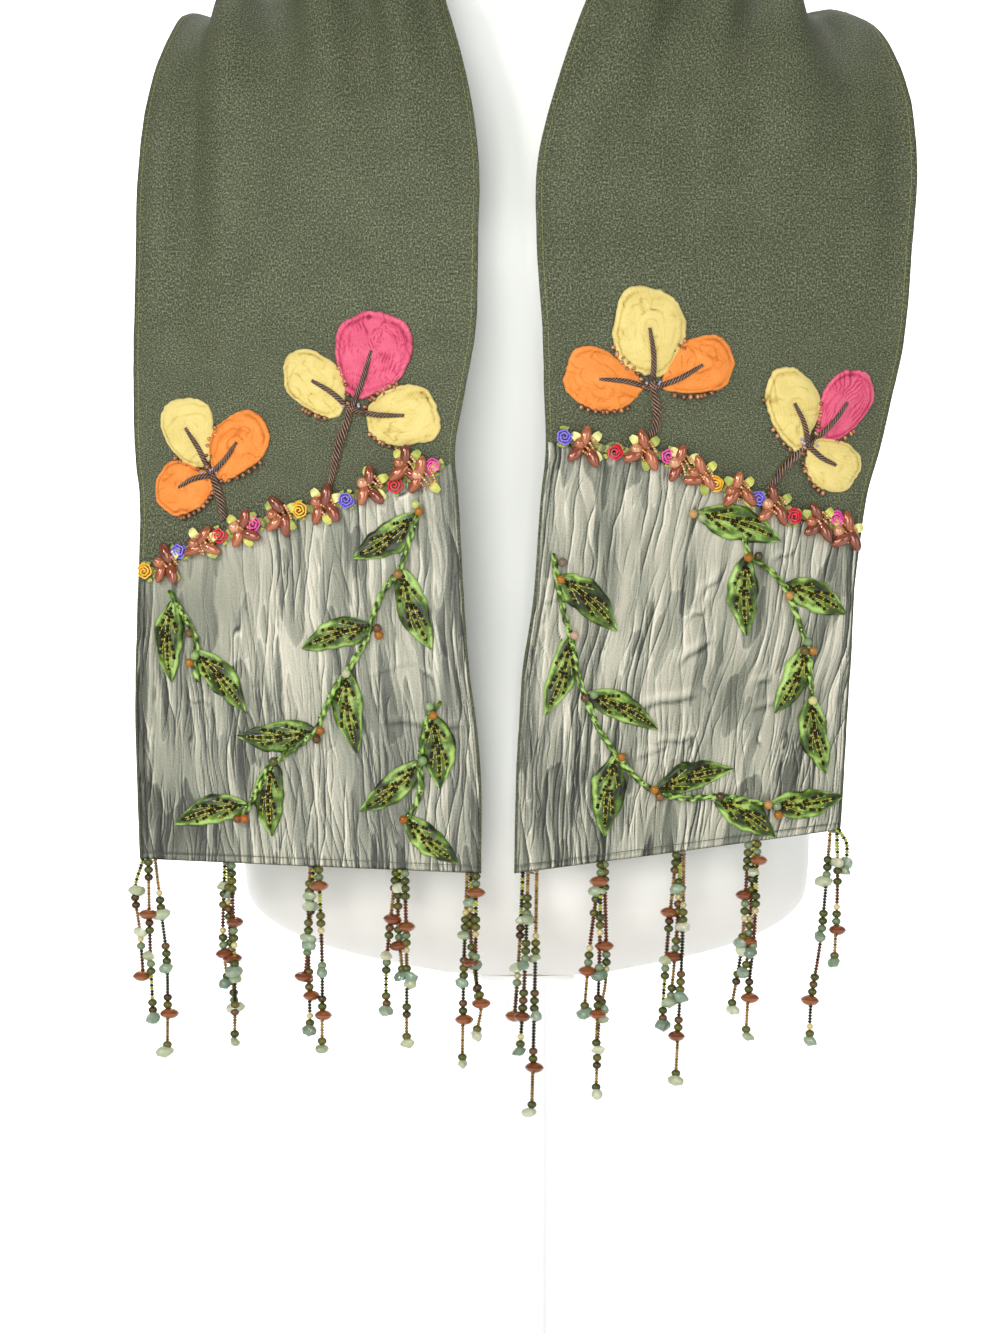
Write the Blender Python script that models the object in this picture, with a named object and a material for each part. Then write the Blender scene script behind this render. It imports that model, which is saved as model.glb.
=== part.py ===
# Silk scarf with embroidered and bead-fringed ends, hung round the neck of a torso form on a short stand.
# Units are metres, +Z is up and the scarf's ends face -Y. The origin is the middle of the stand's underside.
# "Left" and "right" are as seen from the front. "Height" in the scarf's tables is above HEM, "x" is from the
# form's axis. The scarf's tables are in millimetres, as a maker would mark them on the cloth.

import math
from collections import namedtuple

import bmesh
import bpy
import numpy as np
from mathutils import Vector
from mathutils.bvhtree import BVHTree

MM = 0.001
GAP = 0.0003  # left between pieces that touch
WELD = 0.00002

# The stand
BASE_RADIUS = 0.140
BASE_THICKNESS = 0.008
BASE_EDGE = 0.002
POLE_RADIUS = 0.0125
FLANGE_RADIUS = 0.030
FLANGE_THICKNESS = 0.004

# The torso form, which is smooth and has no limbs
FORM_BOTTOM = 0.260
FORM_SIDES = 28
BOTTOM_ROUND = 0.054  # height over which the form's lower end rounds off
BOTTOM_STEPS = 6
SQUARENESS = 2.25  # exponent of the form's rounded sections
BUST_RISE = 0.016
BUST_X = 0.078
BUST_HEIGHT = 0.425
BUST_SPREAD = 0.050
CAP_INSET = 0.004
CAP_THICKNESS = 0.008

Section = namedtuple("Section", "height half_width front back")
FORM_SECTIONS = (  # millimetres above the form's lowest point
    Section(54, 174, 112, 116),
    Section(110, 176, 114, 120),
    Section(165, 164, 106, 110),
    Section(215, 143, 94, 99),
    Section(255, 133, 88, 93),
    Section(300, 137, 93, 95),
    Section(350, 147, 102, 98),
    Section(395, 154, 111, 100),
    Section(430, 158, 115, 101),
    Section(465, 162, 112, 101),
    Section(505, 172, 103, 98),
    Section(538, 189, 91, 92),
    Section(558, 196, 79, 84),
    Section(572, 190, 69, 76),
    Section(584, 171, 63, 70),
    Section(596, 146, 59, 66),
    Section(608, 118, 57, 63),
    Section(620, 90, 55, 61),
    Section(632, 71, 53, 59),
    Section(648, 61, 51, 57),
    Section(690, 57, 49, 53),
)

# The silk, one long strip cut to SCARF_WIDTH
HEM = 0.332  # height of the hems above the floor
SCARF_WIDTH = 0.228
SILK_WALL = 0.0014
SEAT = 0.0012  # least distance from the form to the middle of the silk
SEAT_SOFTNESS = 0.004
FOLD_COUNT = 3.5  # lengthwise folds where the silk is gathered round the neck
FOLD_DRIFT = 0.045
GATHER_START = 9  # rows up from a hem where the silk begins to gather, and rows that this takes
GATHER_ROWS = 4
ACROSS_SAMPLES = 73
STEPS_PER_ROW = 9
FRONT_COLUMNS = 18
FRONT_STEPS = 17
NECK_STEPS = 17
NECK_COLUMNS = 24

# One row for each cross-section of the strip, from the left hem over the shoulders to the right hem.
# The inner edge is the one next to the neck. Bow is how far the middle stands out.
Row = namedtuple("Row", "outer_x outer_y outer_height inner_x inner_y inner_height bow")
LEFT_ROWS = (
    Row(-226, -118, 3, -27, -146, -4, 3),
    Row(-228, -116, 52, -27, -147, 48, 4),
    Row(-229, -114, 86, -30, -148, 84, 4),
    Row(-229, -112, 116, -34, -148, 114, 5),
    Row(-228, -110, 156, -37, -149, 155, 5),
    Row(-227, -107, 210, -40, -150, 210, 6),
    Row(-230, -105, 240, -42, -150, 240, 6),
    Row(-231, -103, 275, -36, -151, 275, 6),
    Row(-231, -100, 310, -30, -152, 310, 6),
    Row(-230, -97, 360, -29, -152, 360, 6),
    Row(-229, -91, 405, -29, -149, 407, 6),
    Row(-225, -78, 450, -36, -134, 457, 7),
    Row(-216, -54, 486, -50, -104, 511, 8),
    Row(-206, -23, 509, -62, -63, 551, 9),
    Row(-194, 19, 513, -68, -16, 569, 9),
    Row(-158, 72, 507, -62, 32, 574, 8),
    Row(-92, 110, 484, -38, 61, 575, 7),
)
BACK_ROW = Row(0, 122, 468, 0, 71, 575, 7)
RIGHT_ROWS = (
    Row(182, -120, 20, -8, -146, -4, 3),
    Row(185, -118, 66, -7, -147, 50, 4),
    Row(187, -116, 98, -5, -148, 86, 4),
    Row(189, -115, 126, -3, -148, 115, 5),
    Row(191, -113, 162, 3, -149, 155, 5),
    Row(198, -111, 213, 7, -150, 210, 6),
    Row(206, -109, 242, 10, -150, 240, 6),
    Row(214, -107, 276, 9, -151, 275, 6),
    Row(221, -105, 310, 8, -152, 310, 6),
    Row(226, -102, 360, 5, -152, 360, 6),
    Row(230, -96, 405, 6, -149, 407, 6),
    Row(228, -82, 450, 18, -136, 456, 7),
    Row(219, -57, 486, 36, -109, 509, 8),
    Row(208, -25, 509, 55, -69, 547, 9),
    Row(196, 17, 513, 67, -19, 567, 9),
    Row(160, 71, 507, 62, 31, 574, 8),
    Row(93, 110, 484, 38, 61, 575, 7),
)
SHOULDER_ROW = 12  # the row where a front stretch meets the neck stretch

# Soft upright folds of the hanging fronts: share of the width from the inner edge, and the heights between
# which the fold shows
SoftFold = namedtuple("SoftFold", "side across half_width rise start end")
SOFT_FOLDS = (
    SoftFold("left", 0.93, 0.060, 5.0, 250, 760),
    SoftFold("left", 0.81, 0.055, -4.0, 270, 700),
    SoftFold("left", 0.62, 0.090, 2.5, 335, 700),
    SoftFold("left", 0.05, 0.050, -3.0, 320, 600),
    SoftFold("right", 0.95, 0.060, -4.0, 300, 640),
    SoftFold("right", 0.70, 0.090, 3.0, 345, 700),
    SoftFold("right", 0.35, 0.080, -2.5, 345, 700),
    SoftFold("right", 0.04, 0.050, -3.0, 300, 600),
)

# The crinkled taffeta panels sewn on the ends
PANEL_WALL = 0.0011
PANEL_INSET = 0.014  # share of the width left bare along each side edge
CRINKLES = 24
CRINKLE_RISE = 0.0013
PANEL_STEPS = 6
BACK_STEP = 4  # the panel's plain back has one column for this many in front
PANEL_LIFT = SILK_WALL / 2 + GAP
TRIM_LIFT = PANEL_LIFT + PANEL_WALL + CRINKLE_RISE + GAP  # clear of the crinkles' crests

# The beaded border along each panel's upper edge
BORDER_WIDTH = 0.017
BORDER_BACKING = 0.0015
BORDER_COLUMNS = 48
BORDER_STEPS = 4
CLUSTER_RISE = 0.0042
CLUSTER_REACH = 0.0065
ROSE_RISE = 0.0034
ROSE_REACH = 0.0040
BorderPoint = namedtuple("BorderPoint", "x height")
BORDERS = {
    "left": (
        BorderPoint(-230, 164),
        BorderPoint(-202, 180),
        BorderPoint(-164, 195),
        BorderPoint(-117, 208),
        BorderPoint(-76, 221),
        BorderPoint(-35, 238),
    ),
    "right": (
        BorderPoint(0, 248),
        BorderPoint(33, 242),
        BorderPoint(70, 237),
        BorderPoint(107, 221),
        BorderPoint(142, 208),
        BorderPoint(168, 199),
        BorderPoint(200, 194),
    ),
}
CLUSTER_X = {
    "left": (-212, -188, -165, -142, -117, -90, -67),
    "right": (33, 62, 90, 104, 121, 142, 167, 184),
}
ROSE_X = {
    "left": (-222, -201, -178, -156, -131, -104, -77, -54),
    "right": (20, 48, 79, 112, 132, 153, 176),
}

# Ribbon flowers, each with three gathered petals and a couched cord stem
PETAL_RISE = 0.0042
PETAL_RIM = 0.0012
PETAL_SIDES = 14
PETAL_TAPER = 0.30
STEM_RADIUS = 0.0017
STEM_SIDES = 6
Petal = namedtuple("Petal", "name colour x height angle length width")
Flower = namedtuple("Flower", "name side petals stem")
FLOWERS = (
    Flower(
        "flower_a",
        "left",
        (
            Petal("petal_1", "yellow", -198, 254, 111, 38, 28),
            Petal("petal_2", "orange", -167, 245, 54, 38, 29),
            Petal("petal_3", "orange", -202, 219, 192, 31, 29),
        ),
        ((-183, 228), (-181, 220), (-178, 211), (-176, 203)),
    ),
    Flower(
        "flower_b",
        "left",
        (
            Petal("petal_1", "yellow", -124, 280, 131, 40, 27),
            Petal("petal_2", "pink", -89, 297, 72, 45, 39),
            Petal("petal_3", "yellow", -70, 259, 3, 38, 32),
        ),
        ((-101, 266), (-104, 256), (-109, 242), (-114, 222)),
    ),
    Flower(
        "flower_c",
        "right",
        (
            Petal("petal_1", "orange", 40, 280, 160, 41, 31),
            Petal("petal_2", "yellow", 69, 310, 93, 47, 38),
            Petal("petal_3", "orange", 100, 289, 28, 40, 29),
        ),
        ((71, 279), (73, 268), (74, 258), (70, 248)),
    ),
    Flower(
        "flower_d",
        "right",
        (
            Petal("petal_1", "yellow", 153, 268, 99, 43, 27),
            Petal("petal_2", "pink", 185, 269, 57, 43, 24),
            Petal("petal_3", "yellow", 178, 232, -33, 31, 28),
        ),
        ((160, 244), (156, 238), (148, 230), (140, 220)),
    ),
)

# Vines with satin leaves, one spray for each vine
LEAF_RISE = 0.0026
LEAF_RIM = 0.0009
LEAF_STATIONS = 5
LEAF_COLUMNS = 2
VINE_RADIUS = 0.0021
VINE_SIDES = 6
Leaf = namedtuple("Leaf", "x height angle length width")
Spray = namedtuple("Spray", "name side vine leaves")
SPRAYS = (
    Spray(
        "leaf_spray_1",
        "left",
        ((-208, 159), (-200, 146), (-192, 131), (-192, 118), (-191, 106)),
        (Leaf(-206, 153, -91, 47, 17), Leaf(-194, 124, -49, 47, 17)),
    ),
    Spray(
        "leaf_spray_2",
        "left",
        (
            (-63, 202),
            (-67, 190),
            (-73, 172),
            (-83, 158),
            (-89, 143),
            (-93, 130),
            (-102, 115),
            (-111, 102),
            (-118, 87),
            (-123, 77),
            (-141, 63),
            (-148, 58),
            (-156, 43),
            (-161, 34),
            (-167, 27),
        ),
        (
            Leaf(-64, 202, -146, 44, 19),
            Leaf(-72, 171, -70, 49, 18),
            Leaf(-89, 138, -163, 43, 18),
            Leaf(-104, 113, -83, 48, 18),
            Leaf(-122, 78, -176, 46, 18),
            Leaf(-147, 60, -91, 43, 18),
            Leaf(-162, 35, -165, 44, 17),
        ),
    ),
    Spray(
        "leaf_spray_3",
        "left",
        ((-50, 95), (-56, 87), (-60, 73), (-62, 59), (-61, 47), (-64, 36), (-70, 27)),
        (Leaf(-56, 88, -83, 43, 20), Leaf(-62, 60, -141, 45, 16), Leaf(-70, 29, -42, 40, 16)),
    ),
    Spray(
        "leaf_spray_4",
        "right",
        (
            (14, 180),
            (16, 166),
            (20, 146),
            (25, 129),
            (28, 111),
            (33, 96),
            (41, 78),
            (52, 62),
            (63, 50),
            (75, 42),
            (92, 39),
            (110, 40),
            (128, 37),
            (146, 33),
        ),
        (
            Leaf(17, 167, -43, 46, 20),
            Leaf(24, 132, -108, 47, 17),
            Leaf(33, 99, -26, 46, 17),
            Leaf(51, 64, -99, 47, 19),
            Leaf(73, 43, 16, 47, 17),
            Leaf(108, 38, -32, 41, 18),
            Leaf(140, 35, 6, 43, 17),
        ),
    ),
    Spray(
        "leaf_spray_5",
        "right",
        (
            (124, 194),
            (127, 180),
            (139, 171),
            (148, 161),
            (153, 150),
            (158, 136),
            (162, 124),
            (163, 110),
            (164, 97),
        ),
        (
            Leaf(97, 203, -17, 51, 20),
            Leaf(126, 179, -90, 46, 18),
            Leaf(148, 162, -24, 40, 19),
            Leaf(161, 127, -115, 43, 16),
            Leaf(164, 97, -79, 45, 18),
        ),
    ),
)

# The bead fringe: tassels of three strands, with a large bead about every inch
TASSEL_HEAD = 0.0110
TASSEL_DEPTH = 0.0050
TASSEL_DROP = 0.0045
STRAND_RADIUS = 0.0013
LARGE_BEAD_EVERY = 0.035
LARGE_BEAD_RADIUS = 0.0036
LARGE_BEAD_HALF_LENGTH = 0.0042
STRAND_SWAY = 0.0006
STRAND_SPREAD = 0.0019  # how far the strands spread forwards and back once they leave the head
LARGE_BEAD_CLEAR = 0.0094  # the least height between large beads of one tassel
Tassel = namedtuple("Tassel", "side x drops leans")
TASSELS = (  # how far each strand hangs, and how far its end is beside its root
    Tassel("left", -220, (68, 93, 113), (-3, 1, 6)),
    Tassel("left", -174, (70, 106, 86), (-3, 0, 4)),
    Tassel("left", -123, (66, 98, 109), (-5, 0, 4)),
    Tassel("left", -73, (86, 106, 66), (-5, 1, 5)),
    Tassel("left", -33, (117, 82, 101), (-4, 0, 4)),
    Tassel("right", 2, (90, 110, 144), (-6, -1, 3)),
    Tassel("right", 43, (88, 134, 109), (-7, -2, 2)),
    Tassel("right", 88, (83, 128, 96), (-7, -3, 1)),
    Tassel("right", 131, (88, 102, 66), (-8, -4, 0)),
    Tassel("right", 178, (107, 124, 60), (-11, -7, -1)),
)

COLOURS = {  # linear red, green and blue, roughness, metallic
    "silk": ((0.098, 0.108, 0.072), 0.62, 0.0),
    "taffeta": ((0.42, 0.41, 0.34), 0.38, 0.1),
    "yellow": ((0.86, 0.76, 0.28), 0.75, 0.0),
    "orange": ((0.94, 0.30, 0.09), 0.75, 0.0),
    "pink": ((0.82, 0.08, 0.21), 0.75, 0.0),
    "leaf": ((0.16, 0.36, 0.05), 0.40, 0.0),
    "cord": ((0.09, 0.045, 0.025), 0.45, 0.2),
    "copper": ((0.40, 0.13, 0.06), 0.28, 0.5),
    "fringe": ((0.16, 0.13, 0.05), 0.30, 0.3),
    "form": ((0.86, 0.85, 0.82), 0.45, 0.0),
    "metal": ((0.80, 0.80, 0.80), 0.30, 0.6),
}


def clear_scene():
    for obj in list(bpy.data.objects):
        bpy.data.objects.remove(obj, do_unlink=True)


def material(name):
    found = bpy.data.materials.get(name)
    if found:
        return found
    colour, roughness, metallic = COLOURS[name]
    made = bpy.data.materials.new(name)
    made.use_nodes = True
    shader = made.node_tree.nodes["Principled BSDF"]
    shader.inputs["Base Color"].default_value = (*colour, 1.0)
    shader.inputs["Roughness"].default_value = roughness
    shader.inputs["Metallic"].default_value = metallic
    made.diffuse_color = (*colour, 1.0)
    return made


def solid(name, points, faces, material_name, sharp_degrees=50):
    """A closed mesh object from points and faces, its normals turned outwards."""
    mesh = bpy.data.meshes.new(name)
    mesh.from_pydata([tuple(p) for p in points], [], faces)
    work = bmesh.new()
    work.from_mesh(mesh)
    bmesh.ops.recalc_face_normals(work, faces=work.faces)
    work.to_mesh(mesh)
    work.free()
    mesh.shade_smooth()
    mesh.set_sharp_from_angle(angle=math.radians(sharp_degrees))
    mesh.materials.append(material(material_name))
    obj = bpy.data.objects.new(name, mesh)
    bpy.context.scene.collection.objects.link(obj)
    return obj


def tube_faces(rings, sides):
    """Faces of a closed tube through rings of the same number of sides, with both ends filled."""
    faces = [tuple(range(sides)), tuple(range((rings - 1) * sides, rings * sides))]
    for ring in range(rings - 1):
        for side in range(sides):
            here = ring * sides + side
            beside = ring * sides + (side + 1) % sides
            faces.append((here, beside, beside + sides, here + sides))
    return faces


def turned(name, profile, sides, material_name):
    """A solid turned round the Z axis from (radius, height) pairs, bottom to top."""
    points = []
    for radius, height in profile:
        for side in range(sides):
            angle = 2 * math.pi * side / sides
            points.append((radius * math.cos(angle), radius * math.sin(angle), height))
    return solid(name, points, tube_faces(len(profile), sides), material_name, 30)


def wall(name, front, back, material_name):
    """A closed wall between two grids of points that have the same rows and columns."""
    rows, columns = front.shape[:2]
    points = np.concatenate([front.reshape(-1, 3), back.reshape(-1, 3)])
    under = rows * columns
    faces = []
    for i in range(rows - 1):
        for j in range(columns - 1):
            a = i * columns + j
            cell = (a, a + 1, a + columns + 1, a + columns)
            faces.append(cell)
            faces.append(tuple(under + corner for corner in reversed(cell)))
    rim = [j for j in range(columns)]
    rim += [i * columns + columns - 1 for i in range(1, rows)]
    rim += [(rows - 1) * columns + j for j in range(columns - 2, -1, -1)]
    rim += [i * columns for i in range(rows - 2, 0, -1)]
    for a, b in zip(rim, rim[1:] + rim[:1]):
        faces.append((a, under + a, under + b, b))
    return solid(name, points, faces, material_name)


def form_half_width_scale(height):
    """How much of its full width the form has at this height above its lowest point."""
    if height >= BOTTOM_ROUND:
        return 1.0
    up = 1 - height / BOTTOM_ROUND
    return math.sqrt(max(0.0, 1 - up * up))


def form_ring(height, section, inset=0.0):
    """The points of one level section of the form, from +X round by the back."""
    scale = form_half_width_scale(height)
    points = []
    for side in range(FORM_SIDES):
        angle = 2 * math.pi * side / FORM_SIDES
        cos, sin = math.cos(angle), math.sin(angle)
        depth = section.back if sin > 0 else section.front
        x = (section.half_width * MM - inset) * scale * math.copysign(abs(cos) ** (2 / SQUARENESS), cos)
        y = (depth * MM - inset) * scale * math.copysign(abs(sin) ** (2 / SQUARENESS), sin)
        if y < 0 and height > BOTTOM_ROUND:
            away = ((abs(x) - BUST_X) ** 2 + (height - BUST_HEIGHT) ** 2) / BUST_SPREAD**2
            y -= BUST_RISE * math.exp(-away)
        points.append(Vector((x, y, FORM_BOTTOM + height)))
    return points


def make_form():
    lowest = FORM_SECTIONS[0]
    rings = []
    flat_share = FLANGE_RADIUS * 1.1 / (lowest.front * MM)
    first = math.asin(flat_share)
    for step in range(BOTTOM_STEPS):
        turn = first + (math.pi / 2 - first) * step / BOTTOM_STEPS
        height = BOTTOM_ROUND * (1 - math.cos(turn))
        rings.append(form_ring(height, lowest))
    for point in rings[0]:
        point.z = FORM_BOTTOM
    for section in FORM_SECTIONS:
        rings.append(form_ring(section.height * MM, section))
    points = [point for ring in rings for point in ring]
    torso = solid("form_torso", points, tube_faces(len(rings), FORM_SIDES), "form")
    top = FORM_SECTIONS[-1]
    top_height = top.height * MM
    cap = []
    for lift, inset in ((GAP, CAP_INSET), (CAP_THICKNESS * 0.7, CAP_INSET), (CAP_THICKNESS, CAP_INSET * 1.8)):
        cap += form_ring(top_height + lift, top, inset)
    solid("form_neck_cap", cap, tube_faces(3, FORM_SIDES), "form", 30)
    return torso


def make_stand():
    base = (
        (BASE_RADIUS - BASE_EDGE, 0.0),
        (BASE_RADIUS, BASE_EDGE),
        (BASE_RADIUS, BASE_THICKNESS - BASE_EDGE),
        (BASE_RADIUS - BASE_EDGE, BASE_THICKNESS),
    )
    turned("stand_base", base, 40, "metal")
    foot = BASE_THICKNESS + GAP
    top = FORM_BOTTOM - GAP
    pole = (
        (FLANGE_RADIUS, foot),
        (FLANGE_RADIUS, foot + FLANGE_THICKNESS),
        (POLE_RADIUS, foot + FLANGE_THICKNESS * 1.6),
        (POLE_RADIUS, top - FLANGE_THICKNESS * 1.6),
        (FLANGE_RADIUS, top - FLANGE_THICKNESS),
        (FLANGE_RADIUS, top),
    )
    turned("stand_pole", pole, 20, "metal")


def through_rows(rows, at):
    """A smooth curve through the rows of a table, read at fractional row numbers."""
    table = np.vstack([2 * rows[0] - rows[1], rows, 2 * rows[-1] - rows[-2]])
    index = np.clip(np.floor(at).astype(int), 0, len(rows) - 2)
    part = (at - index)[:, None]
    p0, p1, p2, p3 = (table[index + k] for k in range(4))
    return 0.5 * (
        2 * p1
        + (p2 - p0) * part
        + (2 * p0 - 5 * p1 + 4 * p2 - p3) * part**2
        + (3 * p1 - p0 - 3 * p2 + p3) * part**3
    )


def running_sum(values):
    """The integral of evenly spaced values over a length of 1, starting at 0."""
    steps = (values[1:] + values[:-1]) / (2 * (len(values) - 1))
    return np.concatenate([[0.0], np.cumsum(steps)])


def swing_for(share):
    """How far the silk's section swings to and fro, in radians, to be this share of its width across."""
    slack = 1 - share
    slack = 0.5 * (slack + math.hypot(slack, 0.03)) - 0.003
    swings = np.linspace(0, 2.0, 81)
    turns = np.linspace(0, 2 * math.pi, 65)
    shares = np.array([np.cos(swing * np.sin(turns)).mean() for swing in swings])
    return float(np.interp(1 - max(slack, 0.0), shares[::-1], swings[::-1]))


def smooth_step(value):
    value = min(1.0, max(0.0, value))
    return value * value * (3 - 2 * value)


class Silk:
    """The middle surface of the whole strip, sampled on a grid of sections and of points across each."""

    def __init__(self, torso):
        rows = [list(row) for row in LEFT_ROWS + (BACK_ROW,) + RIGHT_ROWS[::-1]]
        self.last = len(rows) - 1
        self.at = np.linspace(0, self.last, self.last * STEPS_PER_ROW + 1)
        self.across = np.linspace(0, 1, ACROSS_SAMPLES)
        table = through_rows(np.array(rows, float) * MM, self.at)
        outer, inner, bow = table[:, 0:3], table[:, 3:6], table[:, 6]
        outer[:, 2] += HEM
        inner[:, 2] += HEM
        chord = outer - inner
        length = np.linalg.norm(chord, axis=1)
        sideways = chord / length[:, None]
        along = np.gradient((outer + inner) / 2, axis=0)
        out = np.cross(along, sideways)
        out /= np.linalg.norm(out, axis=1)[:, None]
        self.grid = np.empty((len(self.at), ACROSS_SAMPLES, 3))
        for i, row in enumerate(self.at):
            swing = swing_for(length[i] / SCARF_WIDTH)
            swing *= smooth_step((min(row, self.last - row) - GATHER_START) / GATHER_ROWS)
            phase = 2 * math.pi * FOLD_COUNT * (
                self.across + FOLD_DRIFT * np.sin(2 * math.pi * self.across + 0.45 * row)
            )
            lean = swing * np.sin(phase + 0.12 * (row - self.last / 2))
            reach = running_sum(np.cos(lean))
            depth = running_sum(np.sin(lean)) * SCARF_WIDTH
            depth -= depth[-1] * self.across
            depth -= depth.mean()
            depth += bow[i] * np.sin(math.pi * self.across)
            depth += self.soft_folds(row, (outer[i, 2] + inner[i, 2]) / 2 - HEM)
            self.grid[i] = (
                inner[i]
                + sideways[i] * (reach / reach[-1] * length[i])[:, None]
                + out[i] * depth[:, None]
            )
        self.seat_on(torso)
        run_along = np.gradient(self.grid, axis=0)
        run_across = np.gradient(self.grid, axis=1)
        self.normals = np.cross(run_along, run_across)
        self.normals /= np.linalg.norm(self.normals, axis=2)[:, :, None]

    def soft_folds(self, row, height):
        side = "left" if row < self.last / 2 else "right"
        depth = np.zeros(ACROSS_SAMPLES)
        for fold in SOFT_FOLDS:
            if fold.side != side:
                continue
            middle = (fold.start + fold.end) / 2 * MM
            half = (fold.end - fold.start) / 2 * MM
            strength = smooth_step(1.6 * (1 - abs(height - middle) / half))
            away = (self.across - fold.across) / fold.half_width
            depth += fold.rise * MM * strength * np.exp(-away * away)
        return depth

    def seat_on(self, torso):
        """Pushes what would lie in the form out to its surface, softly."""
        mesh = torso.data
        tree = BVHTree.FromPolygons([v.co for v in mesh.vertices], [tuple(p.vertices) for p in mesh.polygons])
        for point in self.grid.reshape(-1, 3):
            near, normal, _, _ = tree.find_nearest(Vector(point))
            clear = (Vector(point) - near).dot(normal) - SEAT
            if clear < SEAT_SOFTNESS * 3:
                pushed = 0.5 * (clear + math.hypot(clear, SEAT_SOFTNESS))
                point += np.array(normal) * (pushed - clear)

    def read(self, values, across, at):
        """values at a fractional place across and along, interpolated."""
        i = min(max(at * STEPS_PER_ROW, 0.0), len(self.at) - 1.001)
        j = min(max(across * (ACROSS_SAMPLES - 1), 0.0), ACROSS_SAMPLES - 1.001)
        i0, j0 = int(i), int(j)
        di, dj = i - i0, j - j0
        low = values[i0, j0] * (1 - dj) + values[i0, j0 + 1] * dj
        high = values[i0 + 1, j0] * (1 - dj) + values[i0 + 1, j0 + 1] * dj
        return low * (1 - di) + high * di

    def place(self, across, at, lift=0.0):
        """A point of the strip, moved out of its middle surface by lift."""
        normal = self.read(self.normals, across, at)
        return self.read(self.grid, across, at) + normal * (lift / np.linalg.norm(normal))

    def column(self, across):
        j = min(max(across * (ACROSS_SAMPLES - 1), 0.0), ACROSS_SAMPLES - 1.001)
        j0 = int(j)
        return self.grid[:, j0] * (1 - (j - j0)) + self.grid[:, j0 + 1] * (j - j0)

    def row_at(self, side, across, height):
        """The fractional row where the strip is this high above the hems, on a hanging front."""
        count = (SHOULDER_ROW - 1) * STEPS_PER_ROW
        z = self.column(across)[:, 2] - HEM
        if side == "left":
            return float(np.interp(height, z[:count], self.at[:count]))
        return float(np.interp(height, z[::-1][:count], self.at[::-1][:count]))

    def section(self, at):
        """The points across the strip at a fractional row."""
        i = min(max(at * STEPS_PER_ROW, 0.0), len(self.at) - 1.001)
        i0 = int(i)
        return self.grid[i0] * (1 - (i - i0)) + self.grid[i0 + 1] * (i - i0)

    def find(self, side, x, height):
        """The place across and along of a point of a hanging front, from x and height."""
        across = 0.5
        for _ in range(12):
            at = self.row_at(side, across, height)
            line = self.section(at)[:, 0]
            order = np.argsort(line)
            across = float(np.interp(x, line[order], self.across[order]))
        return across, self.row_at(side, across, height)

    def on_front(self, side, x, height, lift):
        return self.place(*self.find(side, x, height), lift)


def make_silk(silk):
    last = silk.last
    shift = GAP / 2 / 0.040  # half the gap at a seam, in rows about 40 mm apart
    stretches = (
        ("silk_left_front", 0, SHOULDER_ROW - shift, FRONT_STEPS, FRONT_COLUMNS),
        ("silk_neck", SHOULDER_ROW + shift, last - SHOULDER_ROW - shift, NECK_STEPS, NECK_COLUMNS),
        ("silk_right_front", last - SHOULDER_ROW + shift, last, FRONT_STEPS, FRONT_COLUMNS),
    )
    for name, start, end, steps, columns in stretches:
        rows = np.linspace(start, end, steps + 1)
        shares = np.linspace(0, 1, columns + 1)
        front = np.array([[silk.place(s, r, SILK_WALL / 2) for s in shares] for r in rows])
        back = np.array([[silk.place(s, r, -SILK_WALL / 2) for s in shares] for r in rows])
        wall(name, front, back, "silk")


def border_height(side, x):
    """Height of a border's middle line at this x."""
    points = BORDERS[side]
    xs = [p.x * MM for p in points]
    rows = np.array([[p.x * MM, p.height * MM] for p in points])
    at = float(np.interp(x, xs, range(len(xs))))
    return float(through_rows(rows, np.array([at]))[0, 1])


def panel_top(silk, side, across):
    """Height of the panel's upper edge at a share of the width, just under the border."""
    height = 0.2
    for _ in range(6):
        x = silk.place(across, silk.row_at(side, across, height))[0]
        height = border_height(side, x) - BORDER_WIDTH / 2 - GAP
    return height


def make_panel(silk, side):
    """Crinkled outside over a plain inside. A crinkle is one high column between two low ones."""
    columns = CRINKLES * 2
    front, back = [], []
    shares = np.linspace(PANEL_INSET, 1 - PANEL_INSET, columns + 1)
    tops = [panel_top(silk, side, share) for share in shares]
    hem = 0 if side == "left" else silk.last
    feet = [silk.place(share, hem)[2] - HEM + 0.0008 for share in shares]
    for i in range(PANEL_STEPS + 1):
        front_row, back_row = [], []
        for j in range(columns + 1):
            height = feet[j] + (tops[j] - feet[j]) * i / PANEL_STEPS
            wander = 0.0
            if 0 < i < PANEL_STEPS and 0 < j < columns:
                wander = 0.30 / columns * math.sin(1.3 * i + 2.4 * j)
            share = shares[j] + wander
            at = silk.row_at(side, share, height)
            rise = CRINKLE_RISE * (0.55 + 0.45 * math.sin(2.1 * j + 0.7 * i)) if j % 2 else 0.0
            if j in (0, columns):
                rise = 0.0
            front_row.append(silk.place(share, at, PANEL_LIFT + PANEL_WALL + rise))
            plain_at = silk.row_at(side, shares[j], height)
            back_row.append(silk.place(shares[j], plain_at, PANEL_LIFT))
        front.append(front_row)
        back.append(back_row)
    coarse_wall(f"panel_{side}", np.array(front), np.array(back), BACK_STEP, "taffeta")


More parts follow.
